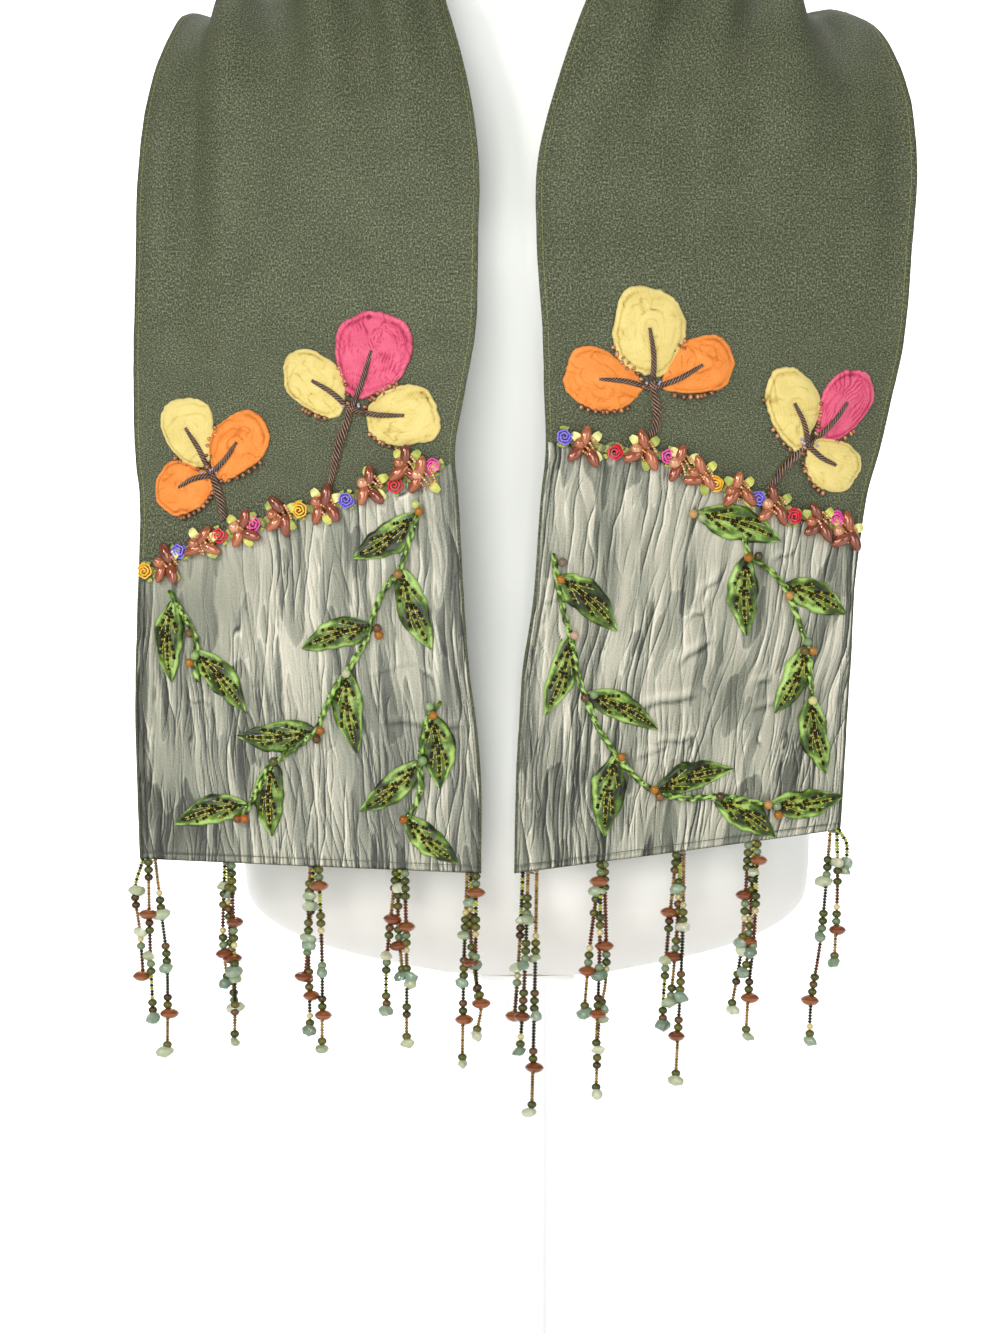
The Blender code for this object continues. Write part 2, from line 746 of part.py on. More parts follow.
def coarse_wall(name, front, back, step, material_name):
    """A closed wall whose back keeps only every step-th column away from its first and last rows."""
    rows, columns = front.shape[:2]
    points = list(front.reshape(-1, 3))
    number = {}
    for i in range(rows):
        for j in range(columns):
            if i in (0, rows - 1) or j % step == 0:
                number[i, j] = len(points)
                points.append(back[i, j])
    faces = []
    for i in range(rows - 1):
        for j in range(columns - 1):
            a = i * columns + j
            faces.append((a, a + 1, a + columns + 1, a + columns))
        for j in range(0, columns - 1, step):
            low = [number[i, k] for k in range(j, j + step + 1) if (i, k) in number]
            high = [number[i + 1, k] for k in range(j + step, j - 1, -1) if (i + 1, k) in number]
            faces.append(tuple(reversed(low + high)))
        for j in (0, columns - 1):
            faces.append((i * columns + j, (i + 1) * columns + j, number[i + 1, j], number[i, j]))
    for i in (0, rows - 1):
        for j in range(columns - 1):
            faces.append((i * columns + j, i * columns + j + 1, number[i, j + 1], number[i, j]))
    return solid(name, points, faces, material_name)


def bead_rise(side, x, off_line):
    """How far the border's beads stand out at x, this far above or below its middle line."""
    rise = 0.0
    for bead_x in CLUSTER_X[side]:
        away = ((x - bead_x * MM) ** 2 + off_line**2) / CLUSTER_REACH**2
        rise = max(rise, CLUSTER_RISE * math.exp(-away * away))
    for bead_x in ROSE_X[side]:
        away = ((x - bead_x * MM) ** 2 + off_line**2) / ROSE_REACH**2
        rise = max(rise, ROSE_RISE * math.exp(-away * away))
    return rise


def make_border(silk, side):
    """A backing strip whose outer points are raised where bead clusters and ribbon roses sit."""
    ends = BORDERS[side][0].x * MM + 0.006, BORDERS[side][-1].x * MM - 0.006
    front, back = [], []
    for i in range(BORDER_STEPS + 1):
        off_line = BORDER_WIDTH * (i / BORDER_STEPS - 0.5)
        front_row, back_row = [], []
        for x in np.linspace(*ends, BORDER_COLUMNS + 1):
            height = border_height(side, x) + off_line
            across, at = silk.find(side, x, height)
            rise = BORDER_BACKING + bead_rise(side, x, off_line)
            front_row.append(silk.place(across, at, PANEL_LIFT + rise))
            back_row.append(silk.place(across, at, PANEL_LIFT))
        front.append(front_row)
        back.append(back_row)
    coarse_wall(f"border_{side}", np.array(front), np.array(back), BACK_STEP, "copper")


def make_petal(silk, flower, petal):
    """A gathered petal: an egg outline, narrow towards the flower's middle, puffed and slightly lumpy."""
    turn = math.radians(petal.angle)
    cos_turn, sin_turn = math.cos(turn), math.sin(turn)
    points = []
    rings = ((1.0, 0.0), (1.0, PETAL_RIM), (0.86, 0.62 * PETAL_RISE), (0.52, 0.95 * PETAL_RISE))
    for scale, rise in rings:
        for k in range(PETAL_SIDES):
            angle = 2 * math.pi * k / PETAL_SIDES
            lump = 1 + 0.035 * math.sin(3 * angle + petal.angle) * (rise > 0)
            along = scale * petal.length * MM / 2 * math.cos(angle)
            aside = scale * petal.width * MM / 2 * math.sin(angle) * (1 + PETAL_TAPER * math.cos(angle))
            x = petal.x * MM + along * cos_turn - aside * sin_turn
            height = petal.height * MM + along * sin_turn + aside * cos_turn
            points.append(silk.on_front(flower.side, x, height, PANEL_LIFT + rise * lump))
    for rise in (0.0, PETAL_RISE):
        points.append(silk.on_front(flower.side, petal.x * MM, petal.height * MM, PANEL_LIFT + rise))
    faces = [(k, (k + 1) % PETAL_SIDES, len(points) - 2) for k in range(PETAL_SIDES)]
    last = (len(rings) - 1) * PETAL_SIDES
    for ring in range(len(rings) - 1):
        for k in range(PETAL_SIDES):
            here = ring * PETAL_SIDES + k
            beside = ring * PETAL_SIDES + (k + 1) % PETAL_SIDES
            faces.append((here, beside, beside + PETAL_SIDES, here + PETAL_SIDES))
    for k in range(PETAL_SIDES):
        faces.append((last + k, last + (k + 1) % PETAL_SIDES, len(points) - 1))
    solid(f"{flower.name}_{petal.name}", points, faces, petal.colour)


def even_path(points, step):
    """Places about step apart on a smooth curve through (x, height) pairs in millimetres."""
    rows = np.array(points, float) * MM
    fine = through_rows(rows, np.linspace(0, len(rows) - 1, 12 * len(rows)))
    run = np.concatenate([[0.0], np.cumsum(np.linalg.norm(np.diff(fine, axis=0), axis=1))])
    count = max(3, round(run[-1] / step) + 1)
    at = np.linspace(0, run[-1], count)
    return np.stack([np.interp(at, run, fine[:, k]) for k in range(2)], axis=1)


def laid_tube(silk, name, side, path, radius, sides, lift, material_name):
    """A round cord lying on a front, its underside at lift above the silk's middle."""
    centres = [Vector(silk.on_front(side, x, height, lift + radius)) for x, height in path]
    normals = []
    for x, height in path:
        low = Vector(silk.on_front(side, x, height, 0.0))
        normals.append((Vector(silk.on_front(side, x, height, 0.01)) - low).normalized())
    points = []
    for i, centre in enumerate(centres):
        ahead = centres[min(i + 1, len(centres) - 1)] - centres[max(i - 1, 0)]
        aside = ahead.cross(normals[i]).normalized()
        size = radius * (0.75 if i in (0, len(centres) - 1) else 1.0)
        for k in range(sides):
            angle = 2 * math.pi * k / sides
            points.append(centre + size * (aside * math.cos(angle) + normals[i] * math.sin(angle)))
    return solid(name, points, tube_faces(len(centres), sides), material_name)


def make_flowers(silk):
    for flower in FLOWERS:
        for petal in flower.petals:
            make_petal(silk, flower, petal)
        path = even_path(flower.stem, 0.006)
        laid_tube(
            silk, f"{flower.name}_stem", flower.side, path, STEM_RADIUS, STEM_SIDES, PANEL_LIFT, "cord"
        )


def make_leaf(silk, side, leaf):
    """A padded leaf, pointed at its tip and keeled along its middle."""
    turn = math.radians(leaf.angle)
    cos_turn, sin_turn = math.cos(turn), math.sin(turn)
    rings = []
    for station in range(LEAF_STATIONS + 1):
        share = station / LEAF_STATIONS
        along = leaf.length * MM * share
        half = leaf.width * MM / 2 * math.sin(math.pi * (0.04 + 0.93 * share) ** 0.86) ** 0.8
        full = math.sin(math.pi * (0.1 + 0.82 * share)) ** 0.5
        ring = []
        for layer, order in ((1, range(LEAF_COLUMNS + 1)), (0, range(LEAF_COLUMNS, -1, -1))):
            for k in order:
                place = 2 * k / LEAF_COLUMNS - 1
                lift = TRIM_LIFT
                if layer:
                    lift += LEAF_RIM + LEAF_RISE * full * (1 - place * place)
                x = leaf.x * MM + along * cos_turn - half * place * sin_turn
                height = leaf.height * MM + along * sin_turn + half * place * cos_turn
                ring.append(silk.on_front(side, x, height, lift))
        rings.append(ring)
    points = [point for ring in rings for point in ring]
    return solid("leaf", points, tube_faces(len(rings), len(rings[0])), "leaf")


def cut_to_triangles(mesh):
    work = bmesh.new()
    work.from_mesh(mesh)
    bmesh.ops.triangulate(work, faces=work.faces)
    work.to_mesh(mesh)
    work.free()


def weld(mesh):
    """Merges points that fall together and removes faces of no area."""
    work = bmesh.new()
    work.from_mesh(mesh)
    bmesh.ops.remove_doubles(work, verts=work.verts, dist=WELD)
    bmesh.ops.dissolve_degenerate(work, edges=work.edges, dist=WELD)
    work.to_mesh(mesh)
    work.free()


def make_spray(silk, spray):
    """A vine and its leaves, joined into one body."""
    path = even_path(spray.vine, 0.011)
    vine = laid_tube(silk, spray.name, spray.side, path, VINE_RADIUS, VINE_SIDES, TRIM_LIFT, "leaf")
    leaves = [make_leaf(silk, spray.side, leaf) for leaf in spray.leaves]
    for piece in [vine] + leaves:
        cut_to_triangles(piece.data)
    for leaf in leaves:
        union = vine.modifiers.new("join_leaf", "BOOLEAN")
        union.operation = "UNION"
        union.solver = "EXACT"
        union.object = leaf
        leaf.hide_render = True
        leaf.display_type = "WIRE"
    bpy.context.view_layer.update()
    joined = bpy.data.meshes.new_from_object(vine.evaluated_get(bpy.context.evaluated_depsgraph_get()))
    vine.modifiers.clear()
    vine.data = joined
    weld(joined)
    for leaf in leaves:
        bpy.data.objects.remove(leaf, do_unlink=True)


def bead_heights(drops):
    """How far down each strand its large beads hang, none of them level with another of the tassel."""
    strands = [[drop - LARGE_BEAD_HALF_LENGTH] for drop in drops]
    taken = [strand[0] for strand in strands]
    for strand in strands:
        hang = strand[0] - LARGE_BEAD_EVERY
        while hang > 0.014:
            if any(abs(hang - other) < LARGE_BEAD_CLEAR for other in taken):
                hang -= 0.001
                continue
            strand.append(hang)
            taken.append(hang)
            hang -= LARGE_BEAD_EVERY
    return strands


def strand_rings(root, drop, beads, lean, spread, turn):
    """Centres and half-widths of a strand's rings, from its root down to its last bead."""
    rings = []
    for bead in sorted(beads):
        rings.append((bead - LARGE_BEAD_HALF_LENGTH, STRAND_RADIUS))
        rings.append((bead, LARGE_BEAD_RADIUS))
        rings.append((bead + LARGE_BEAD_HALF_LENGTH, STRAND_RADIUS))
    placed = []
    for down, size in rings:
        share = down / drop
        sway = STRAND_SWAY * math.sin(5 * share + turn)
        centre = root + Vector((lean * share + sway, spread * min(1.0, down / 0.009) + 0.5 * sway, -down))
        placed.append((centre, size))
    return placed


def make_tassel(silk, number, tassel):
    """Three beaded strands drawn down out of the underside of one small sewn head."""
    edge = silk.grid[0 if tassel.side == "left" else -1]
    order = np.argsort(edge[:, 0])
    place = Vector([float(np.interp(tassel.x * MM, edge[order, 0], edge[order, k])) for k in range(3)])
    ends = [float(np.interp(tassel.x * MM + d, edge[order, 0], edge[order, 2])) for d in (-0.006, 0.006)]
    place.z = min(ends) - GAP * 1.5
    half = TASSEL_HEAD / 2
    cut = [-half, -half / 3, half / 3, half]
    points, faces = [], []

    def add(x, y, z):
        points.append(place + Vector((x, y, z)))
        return len(points) - 1

    top = [[add(x, y, 0.0) for x in cut] for y in (-TASSEL_DEPTH / 2, TASSEL_DEPTH / 2)]
    low = [[add(x, y, -TASSEL_DROP) for x in cut] for y in (-TASSEL_DEPTH / 2, TASSEL_DEPTH / 2)]
    for k in range(3):
        faces.append((top[0][k], top[0][k + 1], top[1][k + 1], top[1][k]))
        for y in (0, 1):
            faces.append((top[y][k], top[y][k + 1], low[y][k + 1], low[y][k]))
    for k in (0, 3):
        faces.append((top[0][k], top[1][k], low[1][k], low[0][k]))
    hung = bead_heights([drop * MM for drop in tassel.drops])
    for k, (drop, lean) in enumerate(zip(tassel.drops, tassel.leans)):
        socket = [low[0][k], low[0][k + 1], low[1][k + 1], low[1][k]]
        middle_x = (cut[k] + cut[k + 1]) / 2
        forward = (0.0010, -0.0010, 0.0010)[k]
        spread = STRAND_SPREAD if forward > 0 else -STRAND_SPREAD
        root = Vector((middle_x, forward, 0.0))
        start = [add(middle_x + a, forward + b, -TASSEL_DROP) for a, b in corners(STRAND_RADIUS)]
        for s in range(4):
            faces.append((socket[s], socket[(s + 1) % 4], start[(s + 1) % 4], start[s]))
        before = start
        for centre, size in strand_rings(root, drop * MM, hung[k], lean * MM, spread, number + 2.0 * k):
            ring = [add(centre.x + a, centre.y + b, centre.z) for a, b in corners(size)]
            for s in range(4):
                faces.append((before[s], before[(s + 1) % 4], ring[(s + 1) % 4], ring[s]))
            before = ring
        faces.append(tuple(before))
    solid(f"tassel_{tassel.side}_{number}", points, faces, "fringe")


def corners(size):
    """The four corners of a strand's square section, in the order of a head's socket."""
    return ((-size, -size), (size, -size), (size, size), (-size, size))


def main():
    clear_scene()
    torso = make_form()
    make_stand()
    silk = Silk(torso)
    make_silk(silk)
    for side in ("left", "right"):
        make_panel(silk, side)
        make_border(silk, side)
    make_flowers(silk)
    for spray in SPRAYS:
        make_spray(silk, spray)
    number = {"left": 0, "right": 0}
    for tassel in TASSELS:
        number[tassel.side] += 1
        make_tassel(silk, number[tassel.side], tassel)


main()
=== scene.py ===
# Silk scarf with crinkled ends, ribbon flowers, leaf sprays, bead borders and bead fringe, hung round the
# neck of a smooth white torso form. Its two ends hang at the front, which faces -Y.
import math
import random

import bmesh
import bpy
import numpy as np
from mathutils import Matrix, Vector
from mathutils.bvhtree import BVHTree


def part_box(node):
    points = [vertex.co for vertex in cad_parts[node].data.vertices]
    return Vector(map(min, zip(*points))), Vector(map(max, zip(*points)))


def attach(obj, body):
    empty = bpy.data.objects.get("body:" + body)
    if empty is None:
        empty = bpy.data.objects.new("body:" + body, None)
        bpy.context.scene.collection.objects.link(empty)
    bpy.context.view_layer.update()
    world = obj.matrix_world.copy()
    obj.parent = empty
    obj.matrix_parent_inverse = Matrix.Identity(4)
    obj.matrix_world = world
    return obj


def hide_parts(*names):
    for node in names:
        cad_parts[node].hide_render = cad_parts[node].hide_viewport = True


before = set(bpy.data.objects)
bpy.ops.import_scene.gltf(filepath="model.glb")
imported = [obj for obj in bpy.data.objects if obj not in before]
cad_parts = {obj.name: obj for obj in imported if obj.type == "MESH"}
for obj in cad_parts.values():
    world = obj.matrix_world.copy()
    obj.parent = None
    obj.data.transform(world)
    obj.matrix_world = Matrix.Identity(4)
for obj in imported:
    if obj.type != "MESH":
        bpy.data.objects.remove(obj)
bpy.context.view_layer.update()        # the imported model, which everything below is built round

mm = 0.001
sides = ("left", "right")      # as the photo shows them


def linear(hexColour):
    parts = [int(hexColour[i:i + 2], 16) / 255 for i in (1, 3, 5)]
    return [c / 12.92 if c < 0.04045 else ((c + 0.055) / 1.055) ** 2.4 for c in parts] + [1.0]


def deselectAll():
    if bpy.context.object and bpy.context.object.mode != "OBJECT":
        bpy.ops.object.mode_set(mode="OBJECT")
    bpy.ops.object.select_all(action="DESELECT")


def addNode(material, kind, settings=None, links=None):
    node = material.node_tree.nodes.new(kind)
    for key, value in (settings or {}).items():
        if isinstance(key, int) or key in node.inputs.keys():
            node.inputs[key].default_value = value
        else:
            setattr(node, key, value)
    for key, source in (links or {}).items():
        material.node_tree.links.new(source, node.inputs[key])
    return node


def shaderOf(material):
    return material.node_tree.nodes["Principled BSDF"]


def newMaterial(name, look):
    material = bpy.data.materials.new(name)
    material.use_nodes = True
    for socket, value in look.items():
        shaderOf(material).inputs[socket].default_value = value
    return material


def placeObject(name, data):
    item = bpy.data.objects.new(name, data)
    bpy.context.scene.collection.objects.link(item)
    return item


def selectOnly(item):
    deselectAll()
    item.select_set(True)
    bpy.context.view_layer.objects.active = item


def selectFaces(item, wanted):
    # for an object in edit mode
    bpy.ops.mesh.select_mode(type="FACE")
    bpy.ops.mesh.select_all(action="DESELECT")
    work = bmesh.from_edit_mesh(item.data)
    for face in work.faces:
        face.select = wanted(face)
    bmesh.update_edit_mesh(item.data)


def applyModifier(item, kind, **settings):
    bpy.ops.object.modifier_add(type=kind)
    for key, value in settings.items():
        setattr(item.modifiers[-1], key, value)
    bpy.ops.object.modifier_apply(modifier=item.modifiers[-1].name)


def finishPiece(piece, slotName, *nodes):
    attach(piece, "root")
    if nodes:
        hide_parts(*nodes)


# Smooth noise between -1 and 1 on a grid of whole numbers, the same on each run
def softNoise(x, y, seed):
    x, y = np.broadcast_arrays(np.asarray(x, float), np.asarray(y, float))
    cellX, cellY = np.floor(x).astype(np.int64), np.floor(y).astype(np.int64)

    def corner(a, b):
        n = (cellX + a) * 374761393 + (cellY + b) * 668265263 + seed * 982451653
        n = ((n ^ (n >> 13)) * 1274126177) & 0x7FFFFFFF
        return ((n ^ (n >> 16)) & 0xFFFF) / 32767.5 - 1

    fx, fy = x - cellX, y - cellY
    fx, fy = fx * fx * (3 - 2 * fx), fy * fy * (3 - 2 * fy)
    low = corner(0, 0) * (1 - fx) + corner(1, 0) * fx
    high = corner(0, 1) * (1 - fx) + corner(1, 1) * fx
    return low * (1 - fy) + high * fy


def zigzag(turns):
    return 4 * np.abs(turns - np.floor(turns + 0.5)) - 1


def smoothStep(value):
    value = np.clip(value, 0.0, 1.0)
    return value * value * (3 - 2 * value)


def bell(value, width):
    return np.exp(-((value / width) ** 2))


def unit(vectors):
    return vectors / np.linalg.norm(vectors, axis=-1)[..., None]


def runAlong(points):
    # how far along a line of points each of them lies
    return np.concatenate([[0.0], np.cumsum(np.linalg.norm(np.diff(points, axis=0), axis=1))])


def readAt(at, run, rows):
    # the rows of a table, read between their places along a run
    return np.stack([np.interp(at, run, rows[:, k]) for k in range(rows.shape[1])], axis=-1)


def placed(axes, point):
    # a 4 by 4 matrix that lays a shape along three axes at a point
    place = np.eye(4)
    place[:3, :3], place[:3, 3] = axes, point
    return place


def curveThrough(rows, at):
    rows = np.asarray(rows, float)
    ends = np.vstack([2 * rows[0] - rows[1], rows, 2 * rows[-1] - rows[-2]])
    index = np.clip(np.floor(at).astype(int), 0, len(rows) - 2)
    part = (at - index)[:, None]
    p0, p1, p2, p3 = (ends[index + k] for k in range(4))
    bend = 2 * p0 - 5 * p1 + 4 * p2 - p3
    return 0.5 * (2 * p1 + (p2 - p0) * part + bend * part**2 + (3 * p1 - p0 - 3 * p2 + p3) * part**3)


def evenPath(points, step):
    # places about a step apart on a smooth curve through the points
    fine = curveThrough(points, np.linspace(0, len(points) - 1, 24 * len(points)))
    run = runAlong(fine)
    return readAt(np.linspace(0, run[-1], max(3, round(run[-1] / step) + 1)), run, fine)


# Cloth: a grid primitive whose points are moved to their places, then given its thickness
def clothGrid(name, points, thickness, offset=-1.0, size=(1.0, 1.0), tone=None):
    rows, columns = points.shape[:2]
    deselectAll()
    bpy.ops.mesh.primitive_grid_add(x_subdivisions=columns - 1, y_subdivisions=rows - 1, size=2)
    cloth = bpy.context.object
    cloth.name = cloth.data.name = name
    mesh = cloth.data
    flat = np.empty(len(mesh.vertices) * 3)
    mesh.vertices.foreach_get("co", flat)
    flat = flat.reshape(-1, 3)
    i = np.rint((flat[:, 1] + 1) / 2 * (rows - 1)).astype(int)
    j = np.rint((flat[:, 0] + 1) / 2 * (columns - 1)).astype(int)
    mesh.vertices.foreach_set("co", points[i, j].ravel())
    corner = np.empty(len(mesh.loops), dtype=np.int64)
    mesh.loops.foreach_get("vertex_index", corner)
    uv = np.stack([j[corner] / (columns - 1) * size[0], i[corner] / (rows - 1) * size[1]], axis=1)
    mesh.uv_layers[0].data.foreach_set("uv", uv.ravel())
    if tone is not None:
        mesh.attributes.new("tone", "FLOAT", "POINT").data.foreach_set("value", tone[i, j].astype(float))
    mesh.update()
    applyModifier(cloth, "SOLIDIFY", thickness=thickness, offset=offset)
    bpy.ops.object.shade_smooth()
    return cloth


def joinInto(name, objects):
    deselectAll()
    for item in objects:
        item.select_set(True)
    bpy.context.view_layer.objects.active = objects[0]
    if len(objects) > 1:
        bpy.ops.object.join()
    objects[0].name = objects[0].data.name = name
    return objects[0]


# Twisted cord or ribbon: a tube whose section has lobes that turn along it
def ropeTube(name, centres, normals, radii, lobes, depth, pitch, corners, material, shading, flatness):
    # shading: the middle of the tone, how much painted light changes it with the lobes, lighter on the strands and
    # painted shade between them, and how much it changes in patches
    along = unit(np.gradient(centres, axis=0))
    aside = unit(np.cross(along, normals))
    out = np.cross(aside, along)
    run = runAlong(centres)
    turn = np.linspace(0, 2 * math.pi, corners, endpoint=False)[None, :]
    lobe = np.cos(lobes * (turn - 2 * math.pi * run[:, None] / pitch))
    size = np.asarray(radii)[:, None] * (1 - depth + depth * lobe)
    points = centres[:, None] + aside[:, None] * (size * np.cos(turn))[..., None]
    points += out[:, None] * (flatness * size * np.sin(turn))[..., None]
    count = len(centres)
    faces = [tuple(range(corners))[::-1], tuple(range((count - 1) * corners, count * corners))]
    for ring in range(0, (count - 1) * corners, corners):
        for corner in range(corners):
            here, beside = ring + corner, ring + (corner + 1) % corners
            faces.append((here, beside, beside + corners, here + corners))
    mesh = bpy.data.meshes.new(name)
    mesh.from_pydata(points.reshape(-1, 3).tolist(), [], faces)
    patch = softNoise(run[:, None] / (2.6 * mm), turn * 1.3, 5 + len(name))
    # painted light: lighter on the crests of the lobes and painted shade in the grooves, plus random patches
    tone = shading[0] + shading[1] * lobe + shading[2] * patch
    mesh.attributes.new("tone", "FLOAT", "POINT").data.foreach_set("value", tone.ravel())
    mesh.materials.append(material)
    tube = placeObject(name, mesh)
    selectOnly(tube)
    bpy.ops.object.mode_set(mode="EDIT")
    bpy.ops.mesh.select_all(action="SELECT")
    bpy.ops.mesh.normals_make_consistent(inside=False)
    bpy.ops.object.mode_set(mode="OBJECT")
    bpy.ops.object.shade_smooth()
    return tube


# Beads and other small things are modelled once each, and their copies are joined
def takeShape():
    item = bpy.context.object
    if item.mode != "OBJECT":
        bpy.ops.object.mode_set(mode="OBJECT")
    points = np.array([v.co[:] for v in item.data.vertices])
    faces = [tuple(p.vertices) for p in item.data.polygons]
    bpy.data.objects.remove(item, do_unlink=True)
    return points, faces


def strew(name, copies):
    # copies: (shape, 4 by 4 matrix, colour, number in beadMaterials)
    points, faces, slots, tints = [], [], [], []
    start = 0
    for shape, place, colour, slotNumber in copies:
        local, localFaces = shape
        points.append(local @ place[:3, :3].T + place[:3, 3])
        faces += [tuple(start + corner for corner in face) for face in localFaces]
        slots += [slotNumber] * len(localFaces)
        tints.append(np.tile(linear(colour), (len(local), 1)))
        start += len(local)
    mesh = bpy.data.meshes.new(name)
    mesh.from_pydata(np.concatenate(points).tolist(), [], faces)
    for material in beadMaterials:
        mesh.materials.append(material)
    mesh.polygons.foreach_set("material_index", slots)
    tint = mesh.attributes.new("tint", "FLOAT_COLOR", "POINT")
    tint.data.foreach_set("color", np.concatenate(tints).ravel())
    item = placeObject(name, mesh)
    selectOnly(item)
    bpy.ops.object.shade_smooth_by_angle(angle=math.radians(50))
    return item


# Materials. These helpers add one step of a node tree each, and return the socket that carries its result
def clothPlace(material):
    return addNode(material, "ShaderNodeUVMap", {"uv_map": "UVMap"}).outputs["UV"]


def objectPlace(material):
    return addNode(material, "ShaderNodeTexCoord").outputs["Object"]


def toneOf(material):
    return addNode(material, "ShaderNodeAttribute", {"attribute_name": "tone"}).outputs["Fac"]


def noiseOn(material, where, size, detail, roughness=0.5):
    settings = {"Scale": 1 / size, "Detail": detail, "Roughness": roughness}
    return addNode(material, "ShaderNodeTexNoise", settings, {"Vector": where}).outputs["Fac"]


def weighed(material, part, weight, base):
    settings = {"operation": "MULTIPLY_ADD", 1: weight}
    return addNode(material, "ShaderNodeMath", settings, {0: part, 2: base}).outputs[0]


def colourBy(material, factor, stops):
    node = addNode(material, "ShaderNodeValToRGB", links={"Fac": factor})
    elements = node.color_ramp.elements
    while len(elements) < len(stops):
        elements.new(0.5)
    for element, (place, colour) in zip(elements, stops):
        element.position = place
        element.color = linear(colour)
    material.node_tree.links.new(node.outputs["Color"], shaderOf(material).inputs["Base Color"])


def reliefBy(material, height, strength, distance=0.1 * mm):
    bump = addNode(material, "ShaderNodeBump", {"Strength": strength, "Distance": distance}, {"Height": height})
    material.node_tree.links.new(bump.outputs["Normal"], shaderOf(material).inputs["Normal"])


def sandwashedSilk():
    # sandwashed silk: matt, with a fine heathered grain and a soft sheen where it turns away
    silk = newMaterial("sandwashedSilk", {
        "Roughness": 0.66, "IOR": 1.5, "Specular IOR Level": 0.2, "Sheen Weight": 0.02, "Sheen Roughness": 0.4,
        "Sheen Tint": linear("#c9c7a2")})
    where = clothPlace(silk)
    grain = noiseOn(silk, where, 1.1 * mm, 2.0, 0.8)
    cloud = noiseOn(silk, where, 28 * mm, 2.0)
    colourBy(silk, weighed(silk, cloud, 0.07, grain),
             [(0.34, "#1c2016"), (0.545, "#484d38"), (0.74, "#83876d")])
    rib = addNode(silk, "ShaderNodeTexWave", {"Scale": 1 / (6.0 * mm), "bands_direction": "DIAGONAL"},
                  {"Vector": where})             # the twill's diagonal, far coarser than the real one and faint
    reliefBy(silk, weighed(silk, rib.outputs["Fac"], 0.06, grain), 0.05)
    return silk


def shotTaffeta():
    # crushed shot taffeta: crisp and shiny; its tone carries painted light, cream where a crease would catch the
    # light and painted shade between
    taffeta = newMaterial("shotTaffeta", {"Roughness": 0.38, "IOR": 1.5, "Specular IOR Level": 0.4})
    where = clothPlace(taffeta)
    stretch = addNode(taffeta, "ShaderNodeMapping", {"Scale": (1 / (1.6 * mm), 1 / (26 * mm), 1.0)},
                      {"Vector": where})
    streak = noiseOn(taffeta, stretch.outputs["Vector"], 1.0, 3.0, 0.6)
    weave = noiseOn(taffeta, where, 0.9 * mm, 2.0, 0.7)
    thread = weighed(taffeta, weave, 0.38, toneOf(taffeta))
    colourBy(taffeta, weighed(taffeta, streak, 0.08, thread), [
        (0.16, "#22231c"), (0.40, "#575a4d"), (0.60, "#858676"), (0.80, "#a9a695"), (1.0, "#cbc6b5")])
    reliefBy(taffeta, weighed(taffeta, weave, 0.25, streak), 0.5, 0.25 * mm)
    return taffeta


def gatheredRibbon(name, deep, middle, light):
    # thin silk ribbon, gathered: soft, nearly matt, with painted shade deeper in the gathers than on their crests
    ribbon = newMaterial(name, {
        "Roughness": 0.7, "IOR": 1.5, "Specular IOR Level": 0.25, "Sheen Weight": 0.05,
        "Subsurface Weight": 0.12, "Subsurface Scale": 1.5 * mm, "Subsurface Radius": (1.0, 0.7, 0.4)})
    fuzz = noiseOn(ribbon, objectPlace(ribbon), 1.3 * mm, 4.0, 0.65)
    colourBy(ribbon, weighed(ribbon, fuzz, 0.35, toneOf(ribbon)), [(0.25, deep), (0.62, middle), (1.0, light)])
    reliefBy(ribbon, fuzz, 0.5, 0.25 * mm)
    return ribbon


def shadedSatin():
    # satin ribbon dyed from pale to deep green, glossy along its weft floats; its tone also carries painted
    # highlight on the puffs and painted shade along the middle
    satin = newMaterial("shadedSatin", {"Roughness": 0.32, "IOR": 1.52, "Specular IOR Level": 0.35,
                                        "Anisotropic": 0.3})
    where = objectPlace(satin)
    patch = noiseOn(satin, where, 4.5 * mm, 3.0, 0.6)
    colourBy(satin, weighed(satin, patch, 0.7, toneOf(satin)),
             [(0.40, "#0c1403"), (0.58, "#273907"), (0.78, "#4f6c18"), (1.0, "#98b860")])
    reliefBy(satin, noiseOn(satin, where, 0.8 * mm, 1.0), 0.3)
    return satin


def bronzeCord():
    # twisted rayon cord, silky, with painted shade between its strands and a painted highlight on them
    cord = newMaterial("bronzeCord", {"Roughness": 0.42, "IOR": 1.5, "Sheen Weight": 0.1})
    colourBy(cord, toneOf(cord), [(0.3, "#080402"), (0.62, "#1c0f08"), (0.84, "#6f4a33"), (1.0, "#d3a67f")])
    return cord


def tintedMaterial(name, look, grain, amount):
    # takes each bead's own colour, a little uneven as blown, dyed or tumbled beads are
    material = newMaterial(name, look)
    tint = addNode(material, "ShaderNodeAttribute", {"attribute_name": "tint"})
    cloud = noiseOn(material, objectPlace(material), grain, 3.0)
    bright = addNode(material, "ShaderNodeMapRange", {"To Min": 1 - amount, "To Max": 1 + amount},
                     {"Value": cloud})
    shaded = addNode(material, "ShaderNodeVectorMath", {"operation": "SCALE"},
                     {0: tint.outputs["Color"], "Scale": bright.outputs["Result"]})
    material.node_tree.links.new(shaded.outputs["Vector"], shaderOf(material).inputs["Base Color"])
    reliefBy(material, cloud, 0.25)
    return material


